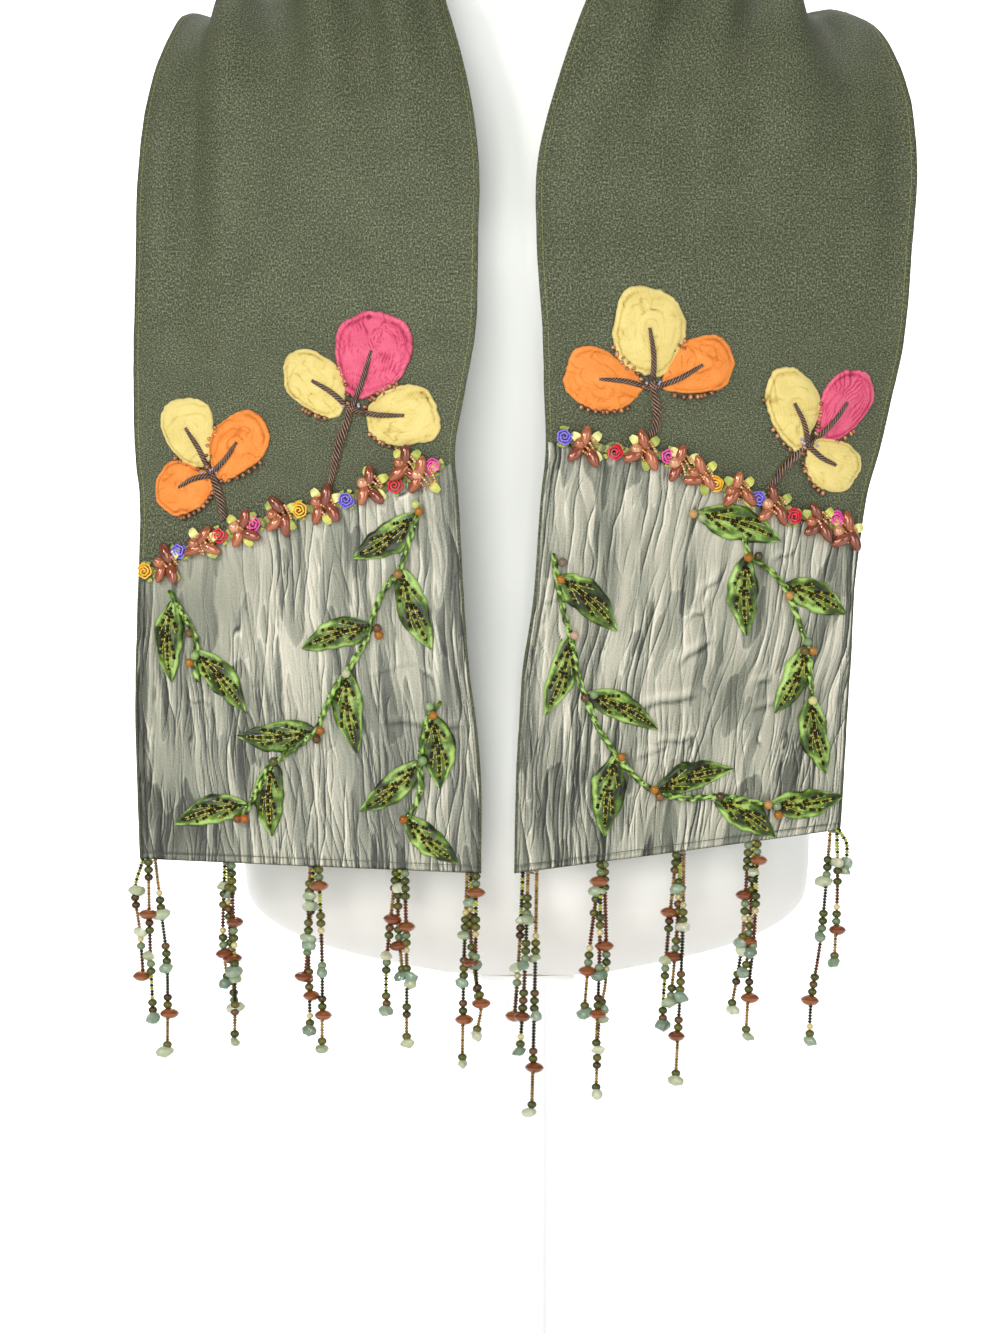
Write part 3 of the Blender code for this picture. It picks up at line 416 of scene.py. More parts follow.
def mouldedShell():
    # moulded shell with a satin white lacquer
    shell = newMaterial("satinLacquerShell", {"Roughness": 0.42, "IOR": 1.5, "Coat Weight": 0.15,
                                              "Coat Roughness": 0.3})
    where = objectPlace(shell)
    cloud = noiseOn(shell, where, 60 * mm, 3.0)
    level = addNode(shell, "ShaderNodeSeparateXYZ", links={"Vector": where})
    paintedShadeBelow = addNode(shell, "ShaderNodeMapRange", {"From Min": 0.22, "From Max": 0.40},
                    {"Value": level.outputs["Z"]})       # painted shade: darker towards its lower edge
    colourBy(shell, weighed(shell, cloud, 0.12, paintedShadeBelow.outputs["Result"]),
             [(0.05, "#c9c4bd"), (0.5, "#dcd9d3"), (1.0, "#fbfdf9")])
    reliefBy(shell, noiseOn(shell, where, 2.5 * mm, 2.0), 0.15)
    return shell


def powderCoat():
    # powder-coated steel: fine orange peel, soft gloss
    coat = newMaterial("whitePowderCoat", {"Base Color": linear("#f8f9f7"), "Roughness": 0.4, "IOR": 1.5})
    reliefBy(coat, noiseOn(coat, objectPlace(coat), 0.9 * mm, 2.0), 0.25)
    return coat


silkCloth = sandwashedSilk()
taffetaCloth = shotTaffeta()
petalCloth = {
    "yellow": gatheredRibbon("paleYellowRibbon", "#836329", "#c6b165", "#dbca88"),
    "orange": gatheredRibbon("orangeRibbon", "#8f3c14", "#cf7429", "#e6934a"),
    "pink": gatheredRibbon("pinkRibbon", "#7a1838", "#bd3f5f", "#dd7088"),
}
leafCloth = shadedSatin()
stemCord = bronzeCord()
glassBead = tintedMaterial("linedGlassSeedBead", {"Roughness": 0.12, "IOR": 1.52, "Specular IOR Level": 0.5,
                                                  "Specular Tint": linear("#cfc496")}, 2 * mm, 0.2)
pearlBead = tintedMaterial("pearlLacquerBead", {"Roughness": 0.1, "IOR": 1.5, "Specular IOR Level": 0.85,
                                                "Specular Tint": linear("#c9c596")}, 6 * mm, 0.15)
copperBead = tintedMaterial("copperLacquerBead", {"Roughness": 0.2, "IOR": 1.5, "Metallic": 0.35,
                                                  "Coat Weight": 0.7, "Coat Roughness": 0.04}, 8 * mm, 0.12)
stoneChip = tintedMaterial("tumbledStoneChip", {"Roughness": 0.22, "IOR": 1.54, "Subsurface Weight": 0.5,
                                                "Subsurface Scale": 2.5 * mm, "Coat Weight": 0.4,
                                                "Transmission Weight": 0.15}, 3 * mm, 0.25)
ribbonBit = tintedMaterial("ribbonTrimming", {"Roughness": 0.4, "IOR": 1.5, "Sheen Weight": 0.2}, 2.5 * mm, 0.25)
sewingThread = tintedMaterial("spunThread", {"Roughness": 0.6, "IOR": 1.5}, 0.8 * mm, 0.2)
lacquerShell = mouldedShell()
beadMaterials = [glassBead, pearlBead, stoneChip, ribbonBit, sewingThread, copperBead]
glassSlot, pearlSlot, stoneSlot, ribbonSlot, threadSlot, copperSlot = range(len(beadMaterials))
print("materials are ready")


# The silk strip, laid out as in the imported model: sections from the left hem over the shoulders to the
# right hem, each with its outer edge, its edge next to the neck and how far its middle stands out
scarf = {"width": 228.0, "length": 1430.0, "hem": 332.0, "seat": 1.2, "seatSoftness": 4.0, "folds": 3.5,
         "foldDrift": 0.045, "gatherStart": 9, "gatherRows": 4, "pointsAcross": 97, "pointsPerRow": 12,
         "thickness": 0.7, "ripple": 0.6}
leftRows = (  # outer x, y, height, inner x, y, height, bow
    (-226, -118, 3, -27, -146, -4, 3),
    (-228, -116, 52, -27, -147, 48, 4),
    (-229, -114, 86, -30, -148, 84, 4),
    (-229, -112, 116, -34, -148, 114, 5),
    (-228, -110, 156, -37, -149, 155, 5),
    (-227, -107, 210, -40, -150, 210, 6),
    (-230, -105, 240, -42, -150, 240, 6),
    (-231, -103, 275, -36, -151, 275, 6),
    (-231, -100, 310, -30, -152, 310, 6),
    (-230, -97, 360, -29, -152, 360, 6),
    (-229, -91, 405, -29, -149, 407, 6),
    (-225, -78, 450, -36, -134, 457, 7),
    (-216, -54, 486, -50, -104, 511, 8),
    (-206, -23, 509, -62, -63, 551, 9),
    (-194, 19, 513, -68, -16, 569, 9),
    (-158, 72, 507, -62, 32, 574, 8),
    (-92, 110, 484, -38, 61, 575, 7),
)
backRow = (0, 122, 468, 0, 71, 575, 7)
rightRows = (
    (182, -120, 20, -8, -146, -4, 3),
    (185, -118, 66, -7, -147, 50, 4),
    (187, -116, 98, -5, -148, 86, 4),
    (189, -115, 126, -3, -148, 115, 5),
    (191, -113, 162, 3, -149, 155, 5),
    (198, -111, 213, 7, -150, 210, 6),
    (206, -109, 242, 10, -150, 240, 6),
    (214, -107, 276, 9, -151, 275, 6),
    (221, -105, 310, 8, -152, 310, 6),
    (226, -102, 360, 5, -152, 360, 6),
    (230, -96, 405, 6, -149, 407, 6),
    (228, -82, 450, 18, -136, 456, 7),
    (219, -57, 486, 36, -109, 509, 8),
    (208, -25, 509, 55, -69, 547, 9),
    (196, 17, 513, 67, -19, 567, 9),
    (160, 71, 507, 62, 31, 574, 8),
    (93, 110, 484, 38, 61, 575, 7),
)
shoulderRow = 12
softFolds = (  # side, share of the width, half width, rise, and the heights between which it shows
    ("left", 0.94, 0.050, 6.0, 250, 760),
    ("left", 0.84, 0.045, -4.5, 270, 700),
    ("left", 0.74, 0.040, 2.0, 330, 620),
    ("left", 0.62, 0.090, 2.5, 335, 700),
    ("left", 0.05, 0.050, -3.0, 320, 600),
    ("right", 0.95, 0.060, -4.0, 300, 640),
    ("right", 0.70, 0.090, 3.0, 345, 700),
    ("right", 0.35, 0.080, -2.5, 345, 700),
    ("right", 0.04, 0.050, -3.0, 300, 600),
)


def runningSum(values):
    steps = (values[1:] + values[:-1]) / (2 * (len(values) - 1))
    return np.concatenate([[0.0], np.cumsum(steps)])


def swingFor(share):
    # how far the section swings to and fro, in radians, to be this share of its width across
    slack = 1 - share
    slack = 0.5 * (slack + math.hypot(slack, 0.03)) - 0.003
    swings = np.linspace(0, 2.0, 81)
    turns = np.linspace(0, 2 * math.pi, 65)
    shares = np.array([np.cos(swing * np.sin(turns)).mean() for swing in swings])
    return float(np.interp(1 - max(slack, 0.0), shares[::-1], swings[::-1]))


def foldDepth(side, height, across):
    depth = np.zeros(len(across))
    for foldSide, place, halfWidth, rise, start, end in softFolds:
        if foldSide == side:
            strength = smoothStep(1.6 * (1 - abs(height - (start + end) / 2) / ((end - start) / 2)))
            depth += rise * strength * bell(across - place, halfWidth)
    return depth


def stripMiddle():
    rows = np.array(leftRows + (backRow,) + rightRows[::-1], float)
    last = len(rows) - 1
    at = np.linspace(0, last, last * scarf["pointsPerRow"] + 1)
    across = np.linspace(0, 1, scarf["pointsAcross"])
    table = curveThrough(rows, at)
    outer, inner, bow = table[:, 0:3], table[:, 3:6], table[:, 6]
    outer[:, 2] += scarf["hem"]
    inner[:, 2] += scarf["hem"]
    chord = outer - inner
    length = np.linalg.norm(chord, axis=1)
    sideways = chord / length[:, None]
    out = unit(np.cross(np.gradient((outer + inner) / 2, axis=0), sideways))
    points = np.empty((len(at), len(across), 3))
    for i, row in enumerate(at):
        fromHem = min(row, last - row)
        swing = swingFor(length[i] / scarf["width"])
        swing *= smoothStep((fromHem - scarf["gatherStart"]) / scarf["gatherRows"])
        drift = across + scarf["foldDrift"] * np.sin(2 * math.pi * across + 0.45 * row)
        lean = swing * np.sin(2 * math.pi * scarf["folds"] * drift + 0.12 * (row - last / 2))
        reach = runningSum(np.cos(lean))
        depth = runningSum(np.sin(lean)) * scarf["width"]
        depth -= depth[-1] * across
        depth -= depth.mean()
        depth += bow[i] * np.sin(math.pi * across)
        height = (outer[i, 2] + inner[i, 2]) / 2 - scarf["hem"]
        depth += foldDepth("left" if row < last / 2 else "right", height, across)
        # light ripples that run down the cloth, and puckers along its two stitched edges
        ripple = softNoise(across * 10 + 0.05 * row, row * 0.16, 21) + 0.5 * softNoise(across * 23, row * 0.3, 22)
        edge = np.minimum(across, 1 - across) * scarf["width"]
        pucker = bell(edge, 6) * softNoise(row * 5.0 + (across > 0.5) * 40, across * 2, 23)
        calm = smoothStep((height - 235) / 90)
        depth += scarf["ripple"] * (ripple * calm * 1.4 + pucker)
        points[i] = inner[i] + sideways[i] * (reach / reach[-1] * length[i])[:, None] + out[i] * depth[:, None]
    return points * mm


def seatOnForm(points):
    form = bpy.data.objects["form_torso"].data
    tree = BVHTree.FromPolygons([v.co for v in form.vertices], [tuple(p.vertices) for p in form.polygons])
    seat, soft = scarf["seat"] * mm, scarf["seatSoftness"] * mm
    for point in points.reshape(-1, 3):
        near, normal, _, _ = tree.find_nearest(Vector(point))
        clear = (Vector(point) - near).dot(normal) - seat
        if clear < soft * 3:
            point += np.array(normal) * (0.5 * (clear + math.hypot(clear, soft)) - clear)


stripPoints = stripMiddle()
seatOnForm(stripPoints)
stripNormals = unit(np.cross(np.gradient(stripPoints, axis=0), np.gradient(stripPoints, axis=1)))


def frontOf(points, side):
    # the rows of the strip from this side's hem up to the shoulder
    count = (shoulderRow - 1) * scarf["pointsPerRow"]
    return points[:count] if side == "left" else points[::-1][:count]


def frontInMm(side):
    return frontOf(stripPoints, side) / mm - np.array([0, 0, scarf["hem"]])


def makeSilk():
    # points run from the outer edge inwards, so that the faces look outwards
    silk = clothGrid("silkStrip", stripPoints[:, ::-1], scarf["thickness"] * mm, 0.0,
                     (scarf["width"] * mm, scarf["length"] * mm))
    silk.data.materials.append(silkCloth)
    finishPiece(silk, "silk", "silk_left_front", "silk_neck", "silk_right_front")
    return silk


silk = makeSilk()
print("silk strip is hung")


# What is sewn on the hanging ends is placed by x and by height above the hem, in mm, on a map of how
# deep the silk lies there
def mapFront(side):
    xs, heights = np.arange(-250, 251, 1.0), np.arange(-12, 420, 1.5)
    part = frontInMm(side)
    columnX, columnY = (np.array([np.interp(heights, part[:, j, 2], part[:, j, k]) for j in range(part.shape[1])])
                        for k in (0, 1))
    depth = np.empty((len(heights), len(xs)))
    for i in range(len(heights)):
        order = np.argsort(columnX[:, i])
        depth[i] = np.interp(xs, columnX[order, i], columnY[order, i])
    slopeH, slopeX = np.gradient(depth, heights, xs)
    return {"xs": xs, "heights": heights, "layers": np.stack([depth, slopeX, slopeH], axis=2)}


frontMap = {side: mapFront(side) for side in sides}


def gridPlace(value, marks):
    # the mark before a value, among evenly spaced ones, and how far it lies towards the next
    at = np.clip((value - marks[0]) / (marks[1] - marks[0]), 0, len(marks) - 1.001)
    before = at.astype(int)
    return before, (at - before)[..., None]


def onFront(side, x, height, lift=0.0):
    # points in metres and outward normals, for x, height and lift in mm
    chart = frontMap[side]
    x, height, lift = np.broadcast_arrays(*(np.asarray(v, float) for v in (x, height, lift)))
    (i, di), (j, dj) = gridPlace(height, chart["heights"]), gridPlace(x, chart["xs"])
    layers = chart["layers"]
    low = layers[i, j] * (1 - dj) + layers[i, j + 1] * dj
    high = layers[i + 1, j] * (1 - dj) + layers[i + 1, j + 1] * dj
    read = low * (1 - di) + high * di
    normal = unit(np.stack([read[..., 1], -np.ones_like(x), read[..., 2]], axis=-1))
    point = np.stack([x, read[..., 0], height + scarf["hem"]], axis=-1) + normal * lift[..., None]
    return point * mm, normal


def sewnAt(side, x, height, lift, turn, scale, tilt=0.0):
    # a matrix that lays a shape on the cloth: its x turned to this angle from the right, its z outwards
    point, normal = onFront(side, x, height, lift)
    right = unit(np.array([1.0, 0.0, 0.0]) - normal * normal[0])
    axes = np.stack([right, np.cross(normal, right), normal], axis=1)
    cos, sin = math.cos(turn), math.sin(turn)
    spin = np.array([[cos, -sin, 0], [sin, cos, 0], [0, 0, 1]])
    lean = np.array([[math.cos(tilt), 0, math.sin(tilt)], [0, 1, 0], [-math.sin(tilt), 0, math.cos(tilt)]])
    return placed(axes @ spin @ lean @ np.diag(np.broadcast_to(scale, 3)), point)


def beadAlong(point, direction, scale, turn):
    # a matrix that threads a shape: its z along the thread
    direction = unit(direction)
    side = unit(np.cross(direction, [0.0, 1.0, 0.2]))
    other = np.cross(direction, side)
    cos, sin = math.cos(turn), math.sin(turn)
    axes = np.stack([side * cos + other * sin, other * cos - side * sin, direction], axis=1)
    return placed(axes @ np.diag(np.broadcast_to(scale, 3)), point)


# Crinkled taffeta panels
panelLook = {
    "inset": 0.007, "columns": 320, "rows": 146, "thickness": 0.35, "lift": 1.35, "edgeLift": 0.85, "edge": 4.0,
    "facets": (  # mm between, mm along, how rare, how much painted shade: lens shapes that face away from the light, painted greyer
        (12.5, 86, 0.12, 0.21), (5.6, 46, 0.36, 0.14),
    ),
    "creases": (  # mm between, mm along, lean, rise, reach, how much painted light shows on flat and curved facets, and how much painted shadow and highlight along the crease lines
        (11.0, 84, 0.04, 0.22, 2.0, 0.14, 0.02, 0.66),
        (7.3, 64, -0.09, 0.16, 1.4, 0.10, 0.02, 0.64),
        (5.3, 48, 0.15, 0.10, 1.0, 0.05, 0.0, 0.58),
        (3.1, 34, -0.02, 0.05, 0.7, 0.0, 0.0, 0.46),
    ),
}
borderLines = {
    "left": ((-230, 164), (-202, 180), (-164, 195), (-117, 208), (-76, 221), (-35, 238)),
    "right": ((0, 248), (33, 242), (70, 237), (107, 221), (142, 208), (168, 199), (200, 194)),
}
calmPatches = {  # x, height, radius: where the taffeta lies flatter
    "left": ((-196, 150, 26), (-180, 166, 22), (-206, 60, 18)),
    "right": ((92, 100, 20), (120, 150, 14)),
}
paintedLightPatches = {  # x, height, radius, tone: patches of painted shade, greyer, and of painted light, paler
    "left": ((-216, 30, 34, -0.22), (-214, 90, 26, -0.16), (-202, 145, 32, -0.20), (-150, 130, 26, 0.12),
             (-120, 170, 22, 0.06), (-60, 60, 40, -0.05)),
    "right": ((14, 50, 34, -0.12), (190, 100, 24, -0.06), (112, 100, 20, -0.16), (60, 190, 34, -0.04),
              (66, 120, 20, 0.06)),
}
crossCreases = {  # x and height of both ends, depth, half width: creases that run across the crinkles
    "left": ((-89, 82, -33, 79, 0.8, 2.2), (-200, 96, -182, 92, 0.5, 1.5), (-96, 108, -60, 118, 0.35, 1.5),
             (-222, 128, -196, 132, 0.3, 2.0)),
    "right": ((85, 113, 108, 132, 1.1, 2.4), (62, 89, 100, 99, 1.1, 2.6), (99, 153, 114, 172, 0.9, 2.0),
              (70, 68, 98, 75, 0.8, 2.0), (142, 174, 156, 184, 0.8, 1.8), (131, 102, 143, 111, 0.9, 2.2),
              (92, 140, 104, 150, 0.9, 2.0), (60, 60, 84, 70, 0.6, 2.0), (6, 150, 24, 156, 0.5, 1.8),
              (128, 88, 150, 96, 0.6, 2.0)),
}


def borderHeight(side, x):
    line = np.array(borderLines[side], float)
    at = np.interp(np.atleast_1d(x), line[:, 0], np.arange(len(line)))
    return curveThrough(line, at)[:, 1]


def steepness(field, u, least):
    # how much a field changes in a mm across the panel, and no less than this
    slope = np.gradient(field, axis=1) / np.maximum(np.gradient(u, axis=1), 1e-6)
    return np.maximum(np.abs(slope), least)


def patchOn(x, height, middleX, middleHeight, radius):
    return np.exp(-(((x - middleX) ** 2 + (height - middleHeight) ** 2) / radius**2))


def creases(u, a, height, width, length, seed):
    # distance in mm, with a sign, from the nearest of the creases, long lines that wander and crowd together
    phase = a / width + 0.8 * softNoise(a / (1.7 * width), height / length, seed)
    phase = phase + 0.22 * softNoise(a / (0.7 * width), height / (0.3 * length), seed + 1)
    return (phase - np.round(phase)) / steepness(phase, u, 0.45 / width)


def crinkle(side, u, x, height):
    # relief in mm and a tone from 0, deep grey, to 1, cream, at places across and up the panel; the tone holds
    # random tone and the painted shade and painted highlights of the creases
    seed = 100 if side == "left" else 300
    slant = -0.02 if side == "left" else 0.10
    a = u - slant * (height - 120) * smoothStep((u - 40) / 80) + 2.2 * softNoise(u / 45, height / 110, seed + 1)
    a = a + 1.4 * softNoise(u / 15, height / 30, seed + 2) + 0.5 * softNoise(u / 6, height / 9, seed + 3)
    calm = np.ones_like(u)
    for patch in calmPatches[side]:
        calm *= 1 - 0.8 * patchOn(x, height, *patch)
    lower = smoothStep((150 - height) / 120)      # the crinkles are closer together towards the hem
    relief, tone = np.zeros_like(u), np.full_like(u, 0.50 if side == "left" else 0.54)
    tone += 0.06 * softNoise(a / 14, height / 50, seed + 4) + 0.04 * softNoise(a / 4.5, height / 30, seed + 5)
    for n, (width, length, part, facetShade) in enumerate(panelLook["facets"]):
        field = softNoise(a / width, height / length, seed + 60 + n)
        field = field + 0.30 * softNoise(a / (0.45 * width), height / (0.6 * length), seed + 70 + n) - part
        off = field / steepness(field, u, 0.12 / width)
        # painted shade: facets that face away from the light are greyer, with a painted shadow line at their edge
        # and a painted highlight beside it
        tone -= facetShade * smoothStep(off / 0.9) * (1 - 0.35 * softNoise(a / 3, height / 26, seed + 80 + n))
        tone -= 0.20 * calm * bell(off, 0.32)
        tone += 0.10 * calm * bell(off + 0.9, 0.45)
        relief -= 0.25 * calm * smoothStep(off / 1.6)
    for n, (width, length, lean, rise, reach, flatFacetLight, curvedFacetLight, creaseShadowAndHighlight) in enumerate(panelLook["creases"]):
        off = creases(u, a + lean * height + 17.0 * n, height, width, length, seed + 10 * n + 10)
        strong = softNoise(a / (1.2 * width), height / (0.5 * length), seed + 10 * n + 13)
        strong = np.clip(0.26 + 1.9 * strong, 0, 1)
        strong = calm * (0.10 + 0.90 * strong) * (1 if n < 2 else 0.40 + 0.65 * lower)
        relief += rise * strong * (np.minimum(1, np.abs(off) / reach) ** 0.8 - 0.5)
        # painted light: one side of each crease lighter and the other darker, a painted shadow line in the crease
        # and a painted highlight beside it
        facet = np.tanh(off / 0.25) * (1 - 0.75 * np.minimum(1, np.abs(off) / (0.5 * width)))
        tone += strong * (flatFacetLight * facet + curvedFacetLight * np.clip(off / reach, -1, 1))
        tone -= creaseShadowAndHighlight * strong * bell(off, 0.30)
        tone += 0.45 * creaseShadowAndHighlight * strong * bell(off - 0.75, 0.35)
    for x0, h0, x1, h1, depth, half in crossCreases[side]:
        length = math.hypot(x1 - x0, h1 - h0)
        dx, dh = (x1 - x0) / length, (h1 - h0) / length
        along = ((x - x0) * dx + (height - h0) * dh) / length
        off = ((height - h0) * dx - (x - x0) * dh) + 1.6 * softNoise(along * 3, depth * 9, seed + 8)
        fade = smoothStep(along * 4) * smoothStep((1 - along) * 4)
        relief -= 0.8 * depth * fade * bell(off, half)
        relief += 0.6 * depth * fade * bell(off - 2.0 * half, half)
        # painted shade in the trough of each cross crease, and a painted highlight on its ridge
        tone -= 0.30 * depth * fade * bell(off + 0.1 * half, 0.5 * half)
        tone += 0.14 * depth * fade * bell(off - 1.6 * half, half)
    # painted shade: darker towards the hem, where the crinkles crowd
    tone -= 0.05 * lower
    # painted shade and painted light in patches
    for *patch, amount in paintedLightPatches[side]:
        tone += amount * patchOn(x, height, *patch)
    return relief, tone


def makePanel(side):
    columns, rows = panelLook["columns"], panelLook["rows"]
    part, facing = frontOf(stripPoints, side), frontOf(stripNormals, side)
    shares = np.linspace(panelLook["inset"], 1 - panelLook["inset"], columns)
    if side == "left":
        shares = shares[::-1]      # both panels are built from their left edge as seen
    place = shares * (scarf["pointsAcross"] - 1)
    j0 = np.minimum(place.astype(int), scarf["pointsAcross"] - 2)
    part0 = (place - j0)[None, :, None]
    middle = part[:, j0] * (1 - part0) + part[:, j0 + 1] * part0
    normal = facing[:, j0] * (1 - part0) + facing[:, j0 + 1] * part0
    z = middle[:, :, 2] / mm - scarf["hem"]
    base = np.empty((rows, columns, 3))
    out = np.empty((rows, columns, 3))
    heights = np.empty((rows, columns))
    for j in range(columns):
        top = 200.0
        for _ in range(6):
            top = float(borderHeight(side, np.interp(top, z[:, j], middle[:, j, 0]) / mm)[0])
        heights[:, j] = np.linspace(z[0, j] + 0.4, top - 2.0, rows)
        base[:, j] = readAt(heights[:, j], z[:, j], middle[:, j])
        out[:, j] = readAt(heights[:, j], z[:, j], normal[:, j])
    steps = np.linalg.norm(np.diff(base, axis=1), axis=2)
    u = np.concatenate([np.zeros((rows, 1)), np.cumsum(steps, axis=1)], axis=1) / mm
    relief, tone = crinkle(side, u, base[:, :, 0] / mm, heights)
    fromEdge = np.minimum(u, u[:, -1:] - u)
    fromHem = heights - heights[:1]
    flat = smoothStep(fromEdge / panelLook["edge"]) * smoothStep(fromHem / panelLook["edge"])
    rolled = 0.35 * bell(fromHem - 1.6, 1.0) + 0.25 * bell(fromEdge - 1.4, 0.9)
    puckers = 0.22 * softNoise(u / 1.9, heights / 1.9, 41) * (1 - flat)
    lift = panelLook["edgeLift"] + (panelLook["lift"] - panelLook["edgeLift"]) * flat
    lift = lift + relief * (0.25 + 0.75 * flat) + rolled + puckers
    seam = bell(fromEdge - 3.4, 0.55) + bell(fromHem - 3.6, 0.6)
    # painted shade in the seam grooves and along the very edge of the panel
    tone = tone - 0.20 * seam - 0.12 * bell(fromEdge, 0.8)
    lift = np.maximum(lift - 0.25 * seam, 0.75)
    points = base + out * (lift * mm)[..., None]
    width = u[:, -1].mean() * mm
    length = float((heights[-1] - heights[0]).mean()) * mm
    panel = clothGrid(f"taffetaPanel{side.title()}", points, panelLook["thickness"] * mm, -1.0,
                      (width, length), tone)
    panel.data.materials.append(taffetaCloth)
    finishPiece(panel, "taffeta", f"panel_{side}")
    return panel, (width * 1.04, length * 1.02)


panels = {side: makePanel(side) for side in sides}
print("taffeta panels are laid")


# Small shapes, modelled once each
def seedBead():
    bpy.ops.mesh.primitive_cylinder_add(vertices=7, radius=1.1 * mm, depth=1.62 * mm)
    bpy.ops.object.mode_set(mode="EDIT")
    selectFaces(bpy.context.object, lambda face: len(face.verts) > 4)
    bpy.ops.mesh.bevel(offset=0.55 * mm, segments=1, affect="EDGES")
    return takeShape()


def roundBead(radius, segments, rings, squash=1.0, waist=0.0):
    # waist flattens the girdle towards two cones, as on a pressed nugget
    bpy.ops.mesh.primitive_uv_sphere_add(segments=segments, ring_count=rings, radius=radius)
    points, faces = takeShape()
    high = points[:, 2] / radius
    ring = np.linalg.norm(points[:, :2], axis=1)
    cone = radius * (1 - np.abs(high))
    scale = np.where(ring > 1e-9, (ring * (1 - waist) + cone * waist) / np.maximum(ring, 1e-9), 1.0)
    points[:, :2] *= scale[:, None]
    points[:, 2] *= squash
    return points, faces


def stoneShape(seed):
    bpy.ops.mesh.primitive_ico_sphere_add(subdivisions=2, radius=1.0)
    points, faces = takeShape()
    bumps = softNoise(points[:, 0] * 1.4 + seed, points[:, 1] * 1.4 + points[:, 2], seed)
    cuts = np.ones(len(points))
    chooser = random.Random(seed)
    for _ in range(5):                # flats where the chip broke
        reach = points @ unit(np.array([chooser.uniform(-1, 1) for _ in range(3)]))
        cuts = np.minimum(cuts, np.where(reach > 0.62, 0.62 / np.maximum(reach, 0.01), 1.0))
    return points * (cuts * (1 + 0.12 * bumps))[:, None], faces


def ribbonRose():
    # a ribbon wound two and a half times, its upper edge fluttering, flatter towards the outside
    turns = np.linspace(0, 1, 56)[None, :]
    up = np.linspace(0, 1, 5)[:, None]
    angle = 2 * math.pi * 2.6 * turns
    radius = (0.5 + 3.7 * turns**0.8) * mm
    flare = 1 + 0.28 * up * turns + 0.09 * np.sin(5.3 * angle) * up
    height = (3.1 - 1.5 * turns + 0.35 * np.sin(3.1 * angle)) * mm * up
    points = np.stack([radius * flare * np.cos(angle), radius * flare * np.sin(angle),
                       np.broadcast_to(height, (5, 56))], axis=2)
    clothGrid("rose", points, 0.75 * mm, 0.0)
    return takeShape()


def ribbonLoop():
    # a folded end of ribbon, arched, that shows between the beads
    across = np.linspace(-1, 1, 7)[None, :]
    along = np.linspace(0, 1, 8)[:, None]
    half = (2.3 * np.sin(math.pi * (0.18 + 0.72 * along)) ** 0.6) * mm
    points = np.stack([5.2 * mm * along + 0 * across, half * across,
                       (0.5 + 1.7 * np.sin(math.pi * along) + 0.3 * across**2) * mm], axis=2)
    clothGrid("loop", points, 0.3 * mm, 0.0)
    return takeShape()


def stitchShape():
    bpy.ops.mesh.primitive_cylinder_add(vertices=5, radius=0.22 * mm, depth=2.3 * mm,
                                        rotation=(0, math.pi / 2, 0))
    bpy.ops.object.transform_apply(location=True, rotation=True, scale=True)
    points, faces = takeShape()
    points[:, 2] *= 0.7
    return points, faces


deselectAll()
shapes = {
    "seed": seedBead(),
    "pearl": roundBead(2.3 * mm, 14, 9),
    "crystal": roundBead(2.0 * mm, 7, 4),
    "oval": roundBead(3.05 * mm, 14, 10, 1.95, 0.08),
    "nugget": roundBead(4.7 * mm, 14, 8, 0.60, 0.15),
    "chip0": stoneShape(3),
    "chip1": stoneShape(7),
    "chip2": stoneShape(12),
    "rose": ribbonRose(),
    "loop": ribbonLoop(),
    "stitch": stitchShape(),
}
print("beads are modelled")


# Topstitching along the strip and round the panels
stitchLook = {"pitch": 3.1, "panelPitch": 2.7, "inset": 3.4, "panelInsets": (3.0, 5.8), "panelHemInset": 4.4,
              "silkThread": "#7c7a3c", "panelThread": "#484a40"}


def stitchRow(points, normals, pitch, colour, lift):
    # short stitches laid end to end along a row of points, in metres
    run = runAlong(points)
    at = np.arange(pitch * mm, run[-1], pitch * mm)
    places, outs = readAt(at, run, points), readAt(at, run, normals)
    copies = []
    for n in range(1, len(places) - 1):
        along, out = unit(places[n + 1] - places[n - 1]), unit(outs[n])
        aside = unit(np.cross(out, along))
        place = placed(np.stack([along, aside, np.cross(along, aside)], axis=1), places[n] + out * lift * mm)
        copies.append((shapes["stitch"], place, colour, threadSlot))
    return copies


def makeStripStitches():
    share = stitchLook["inset"] / scarf["width"]
    copies = []
    for across in (share, 1 - share):
        place = across * (scarf["pointsAcross"] - 1)
        j0 = int(place)
        line = stripPoints[:, j0] * (1 - place + j0) + stripPoints[:, j0 + 1] * (place - j0)
        copies += stitchRow(line, stripNormals[:, j0], stitchLook["pitch"], stitchLook["silkThread"],
                            scarf["thickness"] / 2 + 0.05)
    stitches = strew("stripTopstitching", copies)
    finishPiece(stitches, "silk")
    return stitches


